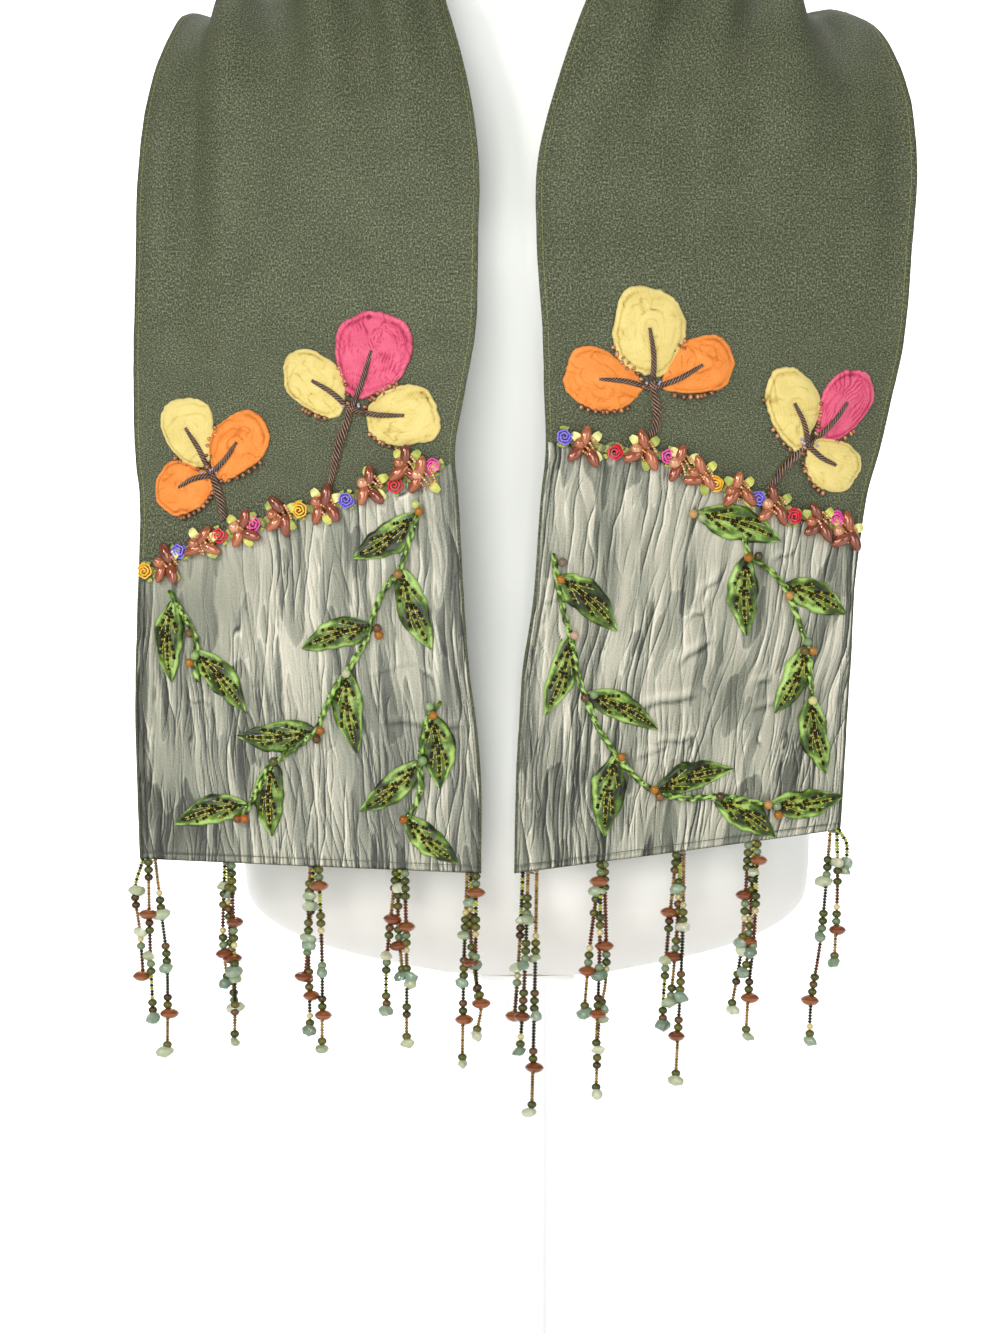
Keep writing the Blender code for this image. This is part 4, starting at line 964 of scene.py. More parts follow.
def makePanelStitches(side):
    panel = panels[side][0]
    tree = BVHTree.FromObject(panel, bpy.context.evaluated_depsgraph_get())
    heights = np.arange(3, 236, 2.0)
    part = frontInMm(side)
    lines = []
    for column in (0, -1):
        edgeX = np.interp(heights, part[:, column, 2], part[:, column, 0])
        inward = 1 if edgeX[0] < part[:, (-1 if column == 0 else 0), 0][0] else -1
        for inset in stitchLook["panelInsets"]:
            xs = edgeX + inward * inset
            keep = heights < borderHeight(side, xs) - 9
            lines.append(np.stack([xs[keep], heights[keep]], axis=1))
    foot = part[0]
    order = np.argsort(foot[:, 0])
    xs = np.linspace(foot[:, 0].min() + 4, foot[:, 0].max() - 4, 90)
    lines.append(np.stack([xs, np.interp(xs, foot[order, 0], foot[order, 2]) + stitchLook["panelHemInset"]],
                          axis=1))
    copies = []
    for line in lines:
        points, outs = onFront(side, line[:, 0], line[:, 1], 0.0)
        seated = []
        for point in points:
            hit = tree.ray_cast(Vector((point[0], point[1] - 0.05, point[2])), Vector((0, 1, 0)))[0]
            seated.append(hit if hit is not None else Vector(point))
        copies += stitchRow(np.array(seated), outs, stitchLook["panelPitch"], stitchLook["panelThread"], 0.05)
    stitches = strew(f"panelTopstitching{side.title()}", copies)
    finishPiece(stitches, "taffeta")
    return stitches


stripStitches = makeStripStitches()
panelStitches = {side: makePanelStitches(side) for side in sides}
print("topstitching is sewn")


# Ribbon flowers
petalLook = {"rise": 3.4, "rim": 0.8, "taper": 0.20, "points": 57, "thickness": 0.4, "longer": 1.13, "wider": 1.10,
             "pleat": 2.1}
flowers = {  # petals: colour, x, height, angle, length, width, layer, arcs of beads (from, to, how many)
    "flower_a": ("left", (-184, 226), (
        ("yellow", -198, 254, 111, 38, 28, 0.0, ((-118, -78, 4), (-46, 8, 5))),
        ("orange", -167, 245, 54, 38, 29, 0.8, ((-112, -38, 7), (168, 214, 4))),
        ("orange", -202, 219, 192, 31, 29, 0.5, ((-98, -12, 9),)),
    ), ((-184, 228), (-181, 221), (-178, 211), (-176, 200))),
    "flower_b": ("left", (-102, 263), (
        ("yellow", -124, 280, 131, 40, 28, 0.0, ((-30, 34, 6), (-116, -76, 6))),
        ("pink", -89, 297, 72, 45, 40, 0.7, ((-84, -58, 3),)),
        ("yellow", -70, 259, 3, 38, 33, 1.0, ((98, 165, 7), (-152, -82, 8))),
    ), ((-102, 266), (-104, 256), (-109, 242), (-114, 219))),
    "flower_c": ("right", (71, 275), (
        ("orange", 40, 280, 160, 41, 31, 0.0, ((-8, 58, 7), (-126, -46, 8))),
        ("yellow", 69, 310, 93, 47, 39, 1.0, ((-62, -22, 5), (206, 236, 4))),
        ("orange", 100, 289, 28, 40, 29, 0.3, ((-128, -62, 7), (118, 176, 5))),
    ), ((71, 279), (73, 268), (74, 258), (70, 245))),
    "flower_d": ("right", (162, 243), (
        ("yellow", 153, 268, 99, 43, 28, 0.8, ((-50, 8, 6), (-132, -96, 4), (166, 178, 1))),
        ("pink", 185, 269, 57, 43, 25, 0.0, ((-112, -66, 5),)),
        ("yellow", 178, 232, -33, 31, 29, 0.6, ((150, 214, 6), (234, 252, 3))),
    ), ((162, 246), (156, 238), (148, 230), (139, 217))),
}


def grown(petal):
    # each petal reaches in to the middle of its flower, where the petals overlap
    colour, x, height, angle, length, width, layer, arcs = petal
    turn = math.radians(angle)
    back = 0.5 * (petalLook["longer"] - 1) * length
    return (colour, x - back * math.cos(turn), height - back * math.sin(turn), angle,
            length * petalLook["longer"], width * petalLook["wider"], layer, arcs)


def turnedFrom(x, height, turn, along, aside):
    # the place this far along and beside a direction
    return (x + along * math.cos(turn) - aside * math.sin(turn),
            height + along * math.sin(turn) + aside * math.cos(turn))


def petalLift(rho):
    return petalLook["rim"] + petalLook["rise"] * np.sqrt(np.clip(1 - rho**2.4, 0, 1))


def gatherLines(along, aside, rho, length, seed, fine):
    # ribbon drawn up on its thread: pleats fan out from the foot of the petal in groups, sharp in their
    # valleys, with fuller and smoother cloth between the groups
    sway = 3.0 * softNoise(along / 11, aside / 11, seed) + 1.0 * softNoise(along / 4, aside / 4, seed + 1)
    reach = np.hypot(along + 0.34 * length, aside) + 2.0
    fan = np.arctan2(aside, along + 0.34 * length) * np.minimum(reach, 0.5 * length)
    turns = (fan + 0.55 * sway * reach / 12) / petalLook["pleat"]
    valley = bell(zigzag(turns) + 1, 0.5)
    grouped = smoothStep(0.5 + 1.3 * softNoise(along / 8 + 3, aside / 8, seed + 2)) * smoothStep(reach / 6)
    swirl = np.hypot(along + 5 * softNoise(along / 12, aside / 12, seed + 3), aside + sway)
    crossing = bell(zigzag(swirl / 5.5) + 1, 0.35)
    crossed = smoothStep(0.3 + 1.3 * softNoise(along / 7, aside / 7, seed + 4))
    soft = 0.5 + 0.5 * softNoise(along / 5, aside / 5, seed + 5)
    roll = bell(rho - 0.86, 0.035) * smoothStep(0.6 + 1.2 * softNoise(fan / 7, 0.0, seed + 6))
    crumple = bell(softNoise(along / 6 + 0.4 * sway, aside / 6, seed + 8), 0.09)
    crumple = crumple * smoothStep(0.5 + 1.5 * softNoise(along / 9, aside / 9, seed + 9)) * (1 - 0.6 * fine)
    full = 1 - 0.62 * fine * valley * grouped - 0.4 * crossing * crossed * (1 - 0.6 * grouped)
    # low where the cloth sinks; the petal takes this both as relief and as painted shade
    return np.clip(full - 0.45 * roll - 0.22 * soft - 0.5 * crumple, 0, 1)


def makePetal(name, side, petal, seed):
    colour, x, height, angle, length, width, layer, _ = petal
    grid = np.linspace(-1, 1, petalLook["points"])
    s, t = np.meshgrid(grid, grid)
    dx, dy = s * np.sqrt(1 - t * t / 2), t * np.sqrt(1 - s * s / 2)
    rho = np.clip(np.hypot(dx, dy), 0, 1)
    around = np.arctan2(dy, dx)
    lobes = 0.038 * np.cos(3 * around + seed) + 0.034 * np.cos(4 * around + 0.7 * seed)
    lobes = lobes * (0.3 if colour == "pink" else 1)
    wobble = 1 + (lobes + 0.05 * softNoise(2.4 * np.cos(around) + seed, 2.4 * np.sin(around), seed)
                  + 0.022 * softNoise(9 * np.cos(around), 9 * np.sin(around) + seed, seed + 1)) * rho
    along = dx * length / 2 * wobble
    aside = dy * width / 2 * (1 + petalLook["taper"] * dx) * wobble
    full = gatherLines(along, aside, rho, length, seed, 1.0 if colour == "pink" else 0.35)
    px, ph = turnedFrom(x, height, math.radians(angle), along, aside)
    bulge = 0.5 * softNoise(along / 9, aside / 9, seed + 7)
    relief = (1.0 * (full - 0.7) + bulge) * (1 - rho**6)
    points, _ = onFront(side, px, ph, petalLift(rho) + layer * (1 - 0.6 * rho**4) + relief)
    # tone: painted shade in the pleat valleys, folds, crumples and the groove inside the rim, a painted highlight
    # on the rolled rim and painted shade at its very edge
    tone = 0.02 + 0.66 * full + 0.10 * smoothStep((rho - 0.88) / 0.08) - 0.10 * smoothStep((rho - 0.97) / 0.03)
    petalPiece = clothGrid(name, points, petalLook["thickness"] * mm, -1.0, (length * mm, width * mm), tone)
    petalPiece.data.materials.append(petalCloth[colour])
    finishPiece(petalPiece, "ribbon_" + colour, name.replace("Ribbon", ""))


def edgePlace(petal, worldAngle, outside):
    # where a petal's outline lies in this direction from its middle
    _, x, height, angle, length, width, _, _ = petal
    turn = math.radians(angle)
    best, place = 9.0, (x, height)
    for k in range(72):
        a = 2 * math.pi * k / 72
        along = math.cos(a) * length / 2 * outside
        aside = math.sin(a) * width / 2 * (1 + petalLook["taper"] * math.cos(a)) * outside
        dx = along * math.cos(turn) - aside * math.sin(turn)
        dh = along * math.sin(turn) + aside * math.cos(turn)
        miss = abs((math.degrees(math.atan2(dh, dx)) - worldAngle + 180) % 360 - 180)
        if miss < best:
            best, place = miss, (x + dx, height + dh)
    return place


def liftAt(petals, x, height):
    # how high a vein or bead rides over the petals at this place
    lift = 0.6
    for _, px, ph, angle, length, width, layer, _ in petals:
        turn = math.radians(angle)
        along = ((x - px) * math.cos(turn) + (height - ph) * math.sin(turn)) / (length / 2)
        aside = (-(x - px) * math.sin(turn) + (height - ph) * math.cos(turn)) / (width / 2)
        aside /= 1 + petalLook["taper"] * max(-1, min(1, along))
        rho = math.hypot(along, aside)
        if rho < 1:
            lift = max(lift, float(petalLift(rho)) + layer - 0.2)
    return lift


def laidRope(name, side, path, liftOf, radii, lobes, depth, pitch, corners, flatness):
    places = evenPath(path, 0.42)
    lifts = np.array([liftOf(px, ph) for px, ph in places])
    lifts = np.convolve(np.pad(lifts, 3, mode="edge"), np.ones(7) / 7, mode="valid")
    size = np.interp(np.linspace(0, 1, len(places)), np.linspace(0, 1, len(radii)), radii)
    centres, outs = onFront(side, places[:, 0], places[:, 1], lifts + size * 0.75 * flatness)
    return ropeTube(name, centres, outs, size * mm, lobes, depth, pitch * mm, corners, stemCord,
                    (0.48, 0.5, 0.06), flatness)


def makeFlower(name, number):
    side, centre, petals, stem = flowers[name]
    petals = [grown(petal) for petal in petals]
    copies = []
    ropes = [laidRope("stem", side, stem, lambda x, h: 0.5, (2.0, 2.5, 2.7, 2.3, 1.5), 6, 0.25, 15.0, 36, 0.75)]
    for k, petal in enumerate(petals):
        makePetal(f"{name}_petal_{k + 1}Ribbon", side, petal, 500 + 40 * number + 10 * k)
        _, x, height, angle, length, _, _, arcs = petal
        turn = math.radians(angle)
        tip = (x + 0.05 * length * math.cos(turn), height + 0.05 * length * math.sin(turn))
        middle = ((centre[0] + tip[0]) / 2 + 1.4 * math.sin(turn), (centre[1] + tip[1]) / 2 - 1.4 * math.cos(turn))
        ropes.append(laidRope("vein", side, (centre, middle, tip), lambda a, b: liftAt(petals, a, b),
                              (1.8, 1.8, 1.6, 1.1), 5, 0.26, 10.0, 30, 0.8))
        chooser = random.Random(31 * number + k)
        for first, last, count in arcs:
            for n in range(count):
                around = first + (last - first) * (n + chooser.uniform(-0.2, 0.2)) / max(1, count - 1)
                bx, bh = edgePlace(petal, around, 1.07)
                size = chooser.uniform(1.4, 1.65)
                place = sewnAt(side, bx, bh, 2.1, math.radians(around + 90), size, math.pi / 2)
                colour = chooser.choice(("#7d4f30", "#946240", "#ad7c54"))
                copies.append((shapes["seed"], place, colour, copperSlot))
                near = edgePlace(petal, around + 4, 0.98)
                thread = sewnAt(side, (bx + near[0]) / 2, (bh + near[1]) / 2, 1.7, math.radians(around + 60),
                                (1.5, 1.7, 1.7))
                copies.append((shapes["stitch"], thread, "#20120a", threadSlot))
    chooser = random.Random(900 + number)
    for _ in range(6):                  # lilac beads where the petals meet
        bx = centre[0] + chooser.uniform(-5, 5)
        bh = centre[1] + chooser.uniform(0, 6)
        place = sewnAt(side, bx, bh, liftAt(petals, bx, bh) + 1.0, chooser.uniform(0, 6), 0.9, 1.2)
        copies.append((shapes["seed"], place, chooser.choice(("#9a93b5", "#b7a8c4", "#8f8ea6")), glassSlot))
    finishPiece(joinInto(f"{name}_cords", ropes), "cord", f"{name}_stem")
    finishPiece(strew(f"{name}_edgeBeads", copies), "border_beads")


for flowerNumber, flowerName in enumerate(flowers):
    makeFlower(flowerName, flowerNumber)
print("flowers are sewn")


# Leaf sprays
leafLook = {"rows": 31, "columns": 17, "lift": 2.3, "rise": 2.6, "thickness": 0.35}
vineLook = {"radius": 2.0, "pitch": 13.0, "step": 1.0}
sprays = {  # vine, then leaves: x and height of the base, angle, length, width
    "leaf_spray_1": ("left", ((-208, 159), (-200, 146), (-192, 131), (-192, 118), (-191, 106)), (
        (-206, 153, -91, 47, 17), (-194, 124, -49, 47, 17),
    )),
    "leaf_spray_2": ("left", (
        (-63, 202), (-67, 190), (-73, 172), (-83, 158), (-89, 143), (-93, 130), (-102, 115), (-111, 102),
        (-118, 87), (-123, 77), (-141, 63), (-148, 58), (-156, 43), (-161, 34), (-167, 27),
    ), (
        (-64, 202, -146, 44, 19), (-72, 171, -70, 49, 18), (-89, 138, -163, 43, 18), (-104, 113, -83, 48, 18),
        (-122, 78, -176, 46, 18), (-147, 60, -91, 43, 18), (-162, 35, -165, 44, 17),
    )),
    "leaf_spray_3": ("left", ((-50, 95), (-56, 87), (-60, 73), (-62, 59), (-61, 47), (-64, 36), (-70, 27)), (
        (-56, 88, -83, 43, 20), (-62, 60, -141, 45, 16), (-70, 29, -42, 40, 16),
    )),
    "leaf_spray_4": ("right", (
        (14, 180), (16, 166), (20, 146), (25, 129), (28, 111), (33, 96), (41, 78), (52, 62), (63, 50),
        (75, 42), (92, 39), (110, 40), (128, 37), (146, 33),
    ), (
        (17, 167, -43, 46, 20), (24, 132, -108, 47, 17), (33, 99, -26, 46, 17), (51, 64, -99, 47, 19),
        (73, 43, 16, 47, 17), (108, 38, -32, 41, 18), (140, 35, 6, 43, 17),
    )),
    "leaf_spray_5": ("right", (
        (124, 194), (127, 180), (139, 171), (148, 161), (153, 150), (158, 136), (162, 124), (163, 110),
        (164, 97),
    ), (
        (97, 203, -17, 51, 20), (126, 179, -90, 46, 18), (148, 162, -24, 40, 19), (161, 127, -115, 43, 16),
        (164, 97, -79, 45, 18),
    )),
}
jointBeads = {  # x, height, colour of the pearls where leaves meet the vine
    "leaf_spray_1": ((-195, 117, "#94601f"), (-195, 134, "#5a4a2c"), (-192, 121, "#7d9a62")),
    "leaf_spray_2": (
        (-62, 204, "#94601f"), (-64, 208, "#a9b06a"), (-74, 168, "#8a6238"), (-86, 137, "#5b3826"),
        (-85, 133, "#8f561d"), (-104, 111, "#a8a98a"), (-119, 78, "#885220"), (-121, 73, "#4d3022"),
        (-146, 60, "#4a4a2a"), (-163, 27, "#94501f"), (-167, 27, "#6b3a1c"),
    ),
    "leaf_spray_3": ((-54, 87, "#94601f"), (-56, 92, "#7f9468"), (-60, 61, "#6f8a5a"), (-71, 27, "#864a14")),
    "leaf_spray_4": (
        (19, 175, "#6a5a50"), (18, 165, "#94601f"), (26, 133, "#a98a7a"), (32, 97, "#4d382a"), (37, 99, "#6f8260"),
        (53, 63, "#8c571c"), (72, 44, "#94601f"), (75, 40, "#6b4a2a"), (110, 40, "#3d2c20"), (138, 35, "#a67a48"),
        (144, 29, "#8f541c"), (143, 34, "#6f8260"),
    ),
    "leaf_spray_5": (
        (94, 203, "#aa8452"), (99, 201, "#8a9a6e"), (126, 178, "#8f561d"), (132, 179, "#3f3526"),
        (150, 156, "#a67a48"), (161, 129, "#6f8260"), (164, 124, "#96632c"), (159, 124, "#5b4632"),
        (164, 95, "#b9b47a"),
    ),
}


def leafHalf(t):
    return np.sin(math.pi * (0.03 + 0.955 * t) ** 0.86) ** 0.86


def leafPuff(t, w, seed):
    # the satin stands up between its rows of beads and dips along them
    dome = np.sqrt(np.clip(1 - np.abs(w) ** 2.6, 0, 1)) * np.sin(math.pi * (0.08 + 0.86 * t)) ** 0.5
    groove = 0.30 * bell(w, 0.13) + 0.18 * bell(np.abs(w) - 0.48, 0.12)
    pucker = 0.24 * softNoise(t * 7, w * 2.2, seed) + 0.12 * softNoise(t * 15, w * 4, seed + 1)
    return dome * (1 - groove + pucker)


def leafPlace(leaf, t, w):
    x, height, angle, length, width = leaf
    bend = 0.05 * length * np.sin(math.pi * t) * (1 if (x + height) % 2 < 1 else -1)
    aside = w * leafHalf(t) * width / 2 + bend
    return turnedFrom(x, height, math.radians(angle), t * length, aside)


def makeLeaf(side, leaf, seed):
    t, w = np.meshgrid(np.linspace(0, 1, leafLook["rows"]), np.linspace(-1, 1, leafLook["columns"]),
                       indexing="ij")
    edge = 1 + 0.13 * softNoise(t * 9, np.sign(w) * 3, seed + 2) * np.abs(w) ** 2
    px, ph = leafPlace(leaf, t, w * edge)
    puff = leafPuff(t, w, seed)
    points, _ = onFront(side, px, ph, leafLook["lift"] + leafLook["rise"] * puff)
    rim = smoothStep((np.abs(w) - 0.55) / 0.35)
    between = bell(np.abs(w) - 0.30, 0.11) * smoothStep((0.75 - t) / 0.3)
    patches = softNoise(t * 5, w * 1.8, seed + 3)
    # tone: paler at the rims and tip as the ribbon is dyed, random patches, a painted highlight on the puffs
    # between the bead rows and painted shade along the middle groove
    tone = 0.29 + 0.22 * rim * (1 + 0.9 * patches) + 0.18 * between * (1 + patches) + 0.28 * patches
    tone = tone + 0.14 * smoothStep((t - 0.86) / 0.1) - 0.08 * bell(w, 0.2)
    leafPiece = clothGrid("leaf", points[:, ::-1], leafLook["thickness"] * mm, -1.0, (1, 1), tone[:, ::-1])
    leafPiece.data.materials.append(leafCloth)
    return leafPiece


veinRows = (  # t and w of both ends, for the middle row and the rows that fan out beside it
    ((0.06, 0.0), (0.88, 0.0)), ((0.15, 0.17), (0.37, 0.64)), ((0.12, -0.17), (0.36, -0.66)),
    ((0.43, 0.17), (0.71, 0.60)), ((0.39, -0.17), (0.67, -0.62)),
)
goldRows = (
    ((0.10, 0.14), (0.84, 0.15)), ((0.10, -0.14), (0.84, -0.15)), ((0.22, 0.17), (0.42, 0.56)),
    ((0.19, -0.17), (0.41, -0.58)), ((0.50, 0.17), (0.75, 0.50)), ((0.46, -0.17), (0.72, -0.52)),
)


def leafBeads(side, leaf, seed):
    chooser = random.Random(seed)
    copies = []
    for rows, pitch, size, dark in ((veinRows, 1.9, 1.04, True), (goldRows, 2.5, 0.8, False)):
        for start, end in rows:
            t = np.linspace(start[0], end[0], 40)
            w = np.linspace(start[1], end[1], 40)
            px, ph = leafPlace(leaf, t, w)
            lift = leafLook["lift"] + leafLook["rise"] * leafPuff(t, w, seed) + (0.45 * size if dark else 0.15)
            points, outs = onFront(side, px, ph, lift)
            run = runAlong(points)
            for n, place in enumerate(np.arange(0.3 * mm, run[-1], pitch * mm)):
                k = min(38, int(np.searchsorted(run, place)))
                along = points[k + 1] - points[k]
                spot = points[k] + along * chooser.uniform(0.3, 0.7)
                if dark:
                    gilt = n % 3 == 2
                    scale = size * (0.75 if gilt else 1.0)
                    threaded = beadAlong(spot, along, scale, chooser.uniform(0, 6))
                    colour = chooser.choice(("#837722", "#998b30") if gilt else ("#161206", "#231c0a", "#0e0b04"))
                    copies.append((shapes["seed"], threaded, colour, glassSlot))
                else:                  # gold thread couched beside the beads
                    axis = unit(along)
                    out = unit(outs[k] - axis * outs[k].dot(axis))
                    laid = placed(np.stack([axis * size, np.cross(out, axis) * 1.15, out * 1.15], axis=1), spot)
                    colour = chooser.choice(("#a9a83a", "#bdb84e", "#8c9430"))
                    copies.append((shapes["stitch"], laid, colour, threadSlot))
    return copies


def makeSpray(name, number):
    side, vine, leaves = sprays[name]
    places = evenPath(vine, vineLook["step"])
    radii = vineLook["radius"] * (1 + 0.12 * softNoise(np.arange(len(places)) / 7, 0, 60 + number))
    radii[:3] *= (0.5, 0.75, 0.9)
    radii[-3:] *= (0.9, 0.75, 0.5)
    centres, outs = onFront(side, places[:, 0], places[:, 1], leafLook["lift"] + radii * 0.9)
    parts = [ropeTube("vine", centres, outs, radii * mm, 2, 0.17, vineLook["pitch"] * mm, 14, leafCloth,
                      (0.44, 0.10, 0.34), 0.85)]
    copies = []
    for k, leaf in enumerate(leaves):
        seed = 1000 + 60 * number + 7 * k
        parts.append(makeLeaf(side, leaf, seed))
        copies += leafBeads(side, leaf, seed)
    chooser = random.Random(77 + number)
    for n in range(4, len(places) - 3, 3):      # seed beads caught in the twist of the vine
        if chooser.random() < 0.55:
            bx = places[n, 0] + chooser.uniform(-1.2, 1.2)
            place = sewnAt(side, bx, places[n, 1], leafLook["lift"] + 3.6, chooser.uniform(0, 6), 0.6, 1.4)
            copies.append((shapes["seed"], place, chooser.choice(("#2f5a1c", "#a9c07a", "#3d3a18")), glassSlot))
    for bx, bh, colour in jointBeads[name]:
        place = sewnAt(side, bx, bh, leafLook["lift"] + 3.6, chooser.uniform(0, 6), 1.16)
        copies.append((shapes["pearl"], place, colour, pearlSlot))
    finishPiece(joinInto(f"{name}_satin", parts), "leaf_satin", name)
    finishPiece(strew(f"{name}_beads", copies), "leaf_satin")


for sprayNumber, sprayName in enumerate(sprays):
    makeSpray(sprayName, sprayNumber)
print("leaf sprays are sewn")


# Bead borders
borderItems = {  # x, height: a cluster of oval beads, or a ribbon rose of a colour
    "left": (
        (-222, 170, "yellow"), (-209, 174, "cluster"), (-202, 182, "violet"), (-188, 186, "cluster"),
        (-178, 191, "red"), (-164, 195, "cluster"), (-158, 197, "pink"), (-142, 202, "cluster"),
        (-131, 205, "yellow"), (-117, 208, "cluster"), (-104, 211, "violet"), (-90, 219, "cluster"),
        (-76, 219, "red"), (-69, 230, "cluster"), (-59, 223, "half"), (-54, 230, "pink"),
    ),
    "right": (
        (20, 247, "violet"), (33, 241, "cluster"), (49, 238, "red"), (66, 239, "cluster"), (80, 236, "pink"),
        (88, 231, "half"), (99, 225, "cluster"), (107, 220, "yellow"), (121, 216, "cluster"),
        (132, 212, "violet"), (142, 208, "cluster"), (153, 202, "red"), (168, 199, "cluster"),
        (178, 201, "pink"), (184, 193, "cluster"),
    ),
}
roseColours = {"violet": "#7a68d8", "red": "#d01834", "pink": "#e0409f", "yellow": "#eeb41e"}
borderLook = {
    "lift": 1.9, "ovalReach": 6.0, "loopReach": 3.9, "ribbonReach": 4.6, "stringPitch": 1.62, "stringGap": 2.9,
    "braidStep": 2.2, "copper": ("#84432a", "#95502f", "#743a22", "#a66240"), "paleCopper": ("#c9906c", "#a3603f"),
    "gold": ("#c48e5c", "#ad7844", "#dcae82"), "lime": ("#b9b955", "#cfcd80", "#98a246"),
    "green": ("#8d9a3c", "#b3b84e"), "braid": ("#6f7a34", "#8f8f48", "#5d6430"), "holeShade": "#2a120a",
}


def besideAt(x, height, reach, a):
    return x + reach * math.cos(a), height + reach * math.sin(a)


def sewRose(side, x, height, colour, chooser):
    lift = borderLook["lift"]
    place = sewnAt(side, x, height, lift + 1.6, chooser.uniform(0, 6), (0.94, 0.94, 1.15))
    copies = [(shapes["rose"], place, colour, ribbonSlot)]
    for _ in range(5):                          # green loops look out from under it
        a = chooser.uniform(0, 2 * math.pi)
        place = sewnAt(side, *besideAt(x, height, borderLook["loopReach"], a), lift + 0.4, a, (0.45, 0.6, 0.7), 0.5)
        copies.append((shapes["loop"], place, chooser.choice(borderLook["green"]), ribbonSlot))
    return copies


def sewOvals(side, x, height, kind, chooser):
    lift = borderLook["lift"]
    copies = []
    ovals = [chooser.uniform(72, 112), chooser.uniform(205, 245), chooser.uniform(-62, -28)]
    for degrees in ovals[:2] if kind == "half" else ovals:
        a = math.radians(degrees)
        reach = borderLook["ovalReach"] * chooser.uniform(0.9, 1.15)
        ovalLift = lift + 2.4 + chooser.uniform(0, 1.4)
        size = chooser.uniform(1.04, 1.22)
        lean = a + math.radians(chooser.uniform(-28, 28))
        place = sewnAt(side, *besideAt(x, height, reach, a), ovalLift, lean, size,
                       math.pi / 2 + chooser.uniform(-0.3, 0.15))
        copies.append((shapes["oval"], place, chooser.choice(borderLook["copper"]), copperSlot))
    a = math.radians(chooser.uniform(150, 178))          # one lies with its drilled end showing
    place = sewnAt(side, x + 4.6 * math.cos(a), height + 3.6 * math.sin(a), lift + 2.6, a, (1.2, 1.2, 0.72), 0.5)
    copies.append((shapes["oval"], place, chooser.choice(borderLook["paleCopper"]), copperSlot))
    # painted shade: a small dark seed bead stands in for the shadow inside the drilled hole
    holeShadeBead = sewnAt(side, x + 4.0 * math.cos(a), height + 3.2 * math.sin(a), lift + 5.6, a, (0.62, 0.62, 0.5))
    copies.append((shapes["seed"], holeShadeBead, borderLook["holeShade"], threadSlot))
    return copies


def sewStrings(side, x, height, chooser):
    # strings of gold seed beads that slant across between the ovals and stand up in their middles
    copies = []
    slant = chooser.uniform(-62, -38)
    for k, count in enumerate((6, 8, 8, 6)):
        a = math.radians(slant + chooser.uniform(-16, 16))
        offset = (k - 1.5) * borderLook["stringGap"]
        for n in range(count):
            along = (n - (count - 1) / 2) * borderLook["stringPitch"]
            bow = 1.1 * (1 - (2 * along / 13) ** 2)
            bx, bh = turnedFrom(x, height, a, along, offset + bow)
            place = sewnAt(side, bx, bh, borderLook["lift"] + 2.3 + 1.7 * bow, a, (0.82, 0.82, 0.98), math.pi / 2)
            copies.append((shapes["seed"], place, chooser.choice(borderLook["gold"]), copperSlot))
    return copies


def sewRibbonEnds(side, x, height, chooser):
    copies = []
    for degrees in (chooser.uniform(95, 150), chooser.uniform(-85, -40), chooser.uniform(20, 60)):
        a = math.radians(degrees)
        place = sewnAt(side, *besideAt(x, height, borderLook["ribbonReach"], a), borderLook["lift"] + 1.2, a,
                       (1.3, 1.15, 1.2))
        copies.append((shapes["loop"], place, chooser.choice(borderLook["lime"]), ribbonSlot))
    return copies


def makeBorder(side, number):
    chooser = random.Random(4200 + number)
    copies = []
    for x, height, kind in borderItems[side]:
        if kind in roseColours:
            copies += sewRose(side, x, height, roseColours[kind], chooser)
        else:
            copies += sewOvals(side, x, height, kind, chooser)
            copies += sewStrings(side, x, height, chooser)
            copies += sewRibbonEnds(side, x, height, chooser)
    path = evenPath(borderLines[side], borderLook["braidStep"])
    inside = (path[:, 0] > borderItems[side][0][0] - 3) & (path[:, 0] < borderItems[side][-1][0] + 4)
    for px, ph in path[inside]:                # the braid that the beads are sewn on
        place = sewnAt(side, px, ph, borderLook["lift"] - 0.5, chooser.uniform(-0.9, 0.9), (0.8, 1.0, 0.8))
        copies.append((shapes["loop"], place, chooser.choice(borderLook["braid"]), ribbonSlot))
    finishPiece(strew(f"beadBorder{side.title()}", copies), "border_beads", f"border_{side}")


for borderNumber, borderSide in enumerate(sides):
    makeBorder(borderSide, borderNumber)
print("bead borders are sewn")


# Bead fringe
beadKinds = {  # letter: shape, length on the thread in mm, scale, colours, material
    "k": ("seed", 1.75, (1.22, 1.22, 1.04), ("#17120a", "#2b2410", "#211d0c"), glassSlot),
    "y": ("seed", 1.75, (1.22, 1.22, 1.04), ("#8a9228", "#a3a43a"), glassSlot),
    "g": ("seed", 1.65, (1.16, 1.16, 1.0), ("#5e4420", "#80612e", "#6e5026", "#96763e"), glassSlot),
    "c": ("seed", 1.80, (1.25, 1.25, 1.08), ("#3d1a10", "#64321e", "#552818"), glassSlot),
    "p": ("pearl", 4.4, (1.2, 1.2, 1.02), ("#3f4420", "#343c1c", "#514e24"), pearlSlot),
    "q": ("pearl", 4.3, (1.15, 1.15, 1.0), ("#5c6a50", "#6a785c"), pearlSlot),
    "b": ("pearl", 4.3, (1.15, 1.15, 1.0), ("#38241a", "#553a28"), pearlSlot),
    "t": ("crystal", 3.8, (1.08, 1.08, 1), ("#c4b984", "#b5a870"), stoneSlot),
    "n": ("nugget", 5.6, (1.25, 1.1, 1.15), ("#763a14", "#884a1e"), copperSlot),
    "j": ("chip", 4.6, (5.4, 4.0, 4.0), ("#7b9079", "#6d826c", "#8b9d85"), stoneSlot),
    "w": ("chip", 4.3, (5.8, 3.8, 3.6), ("#aab392", "#bdc2a6", "#98a684"), stoneSlot),
}
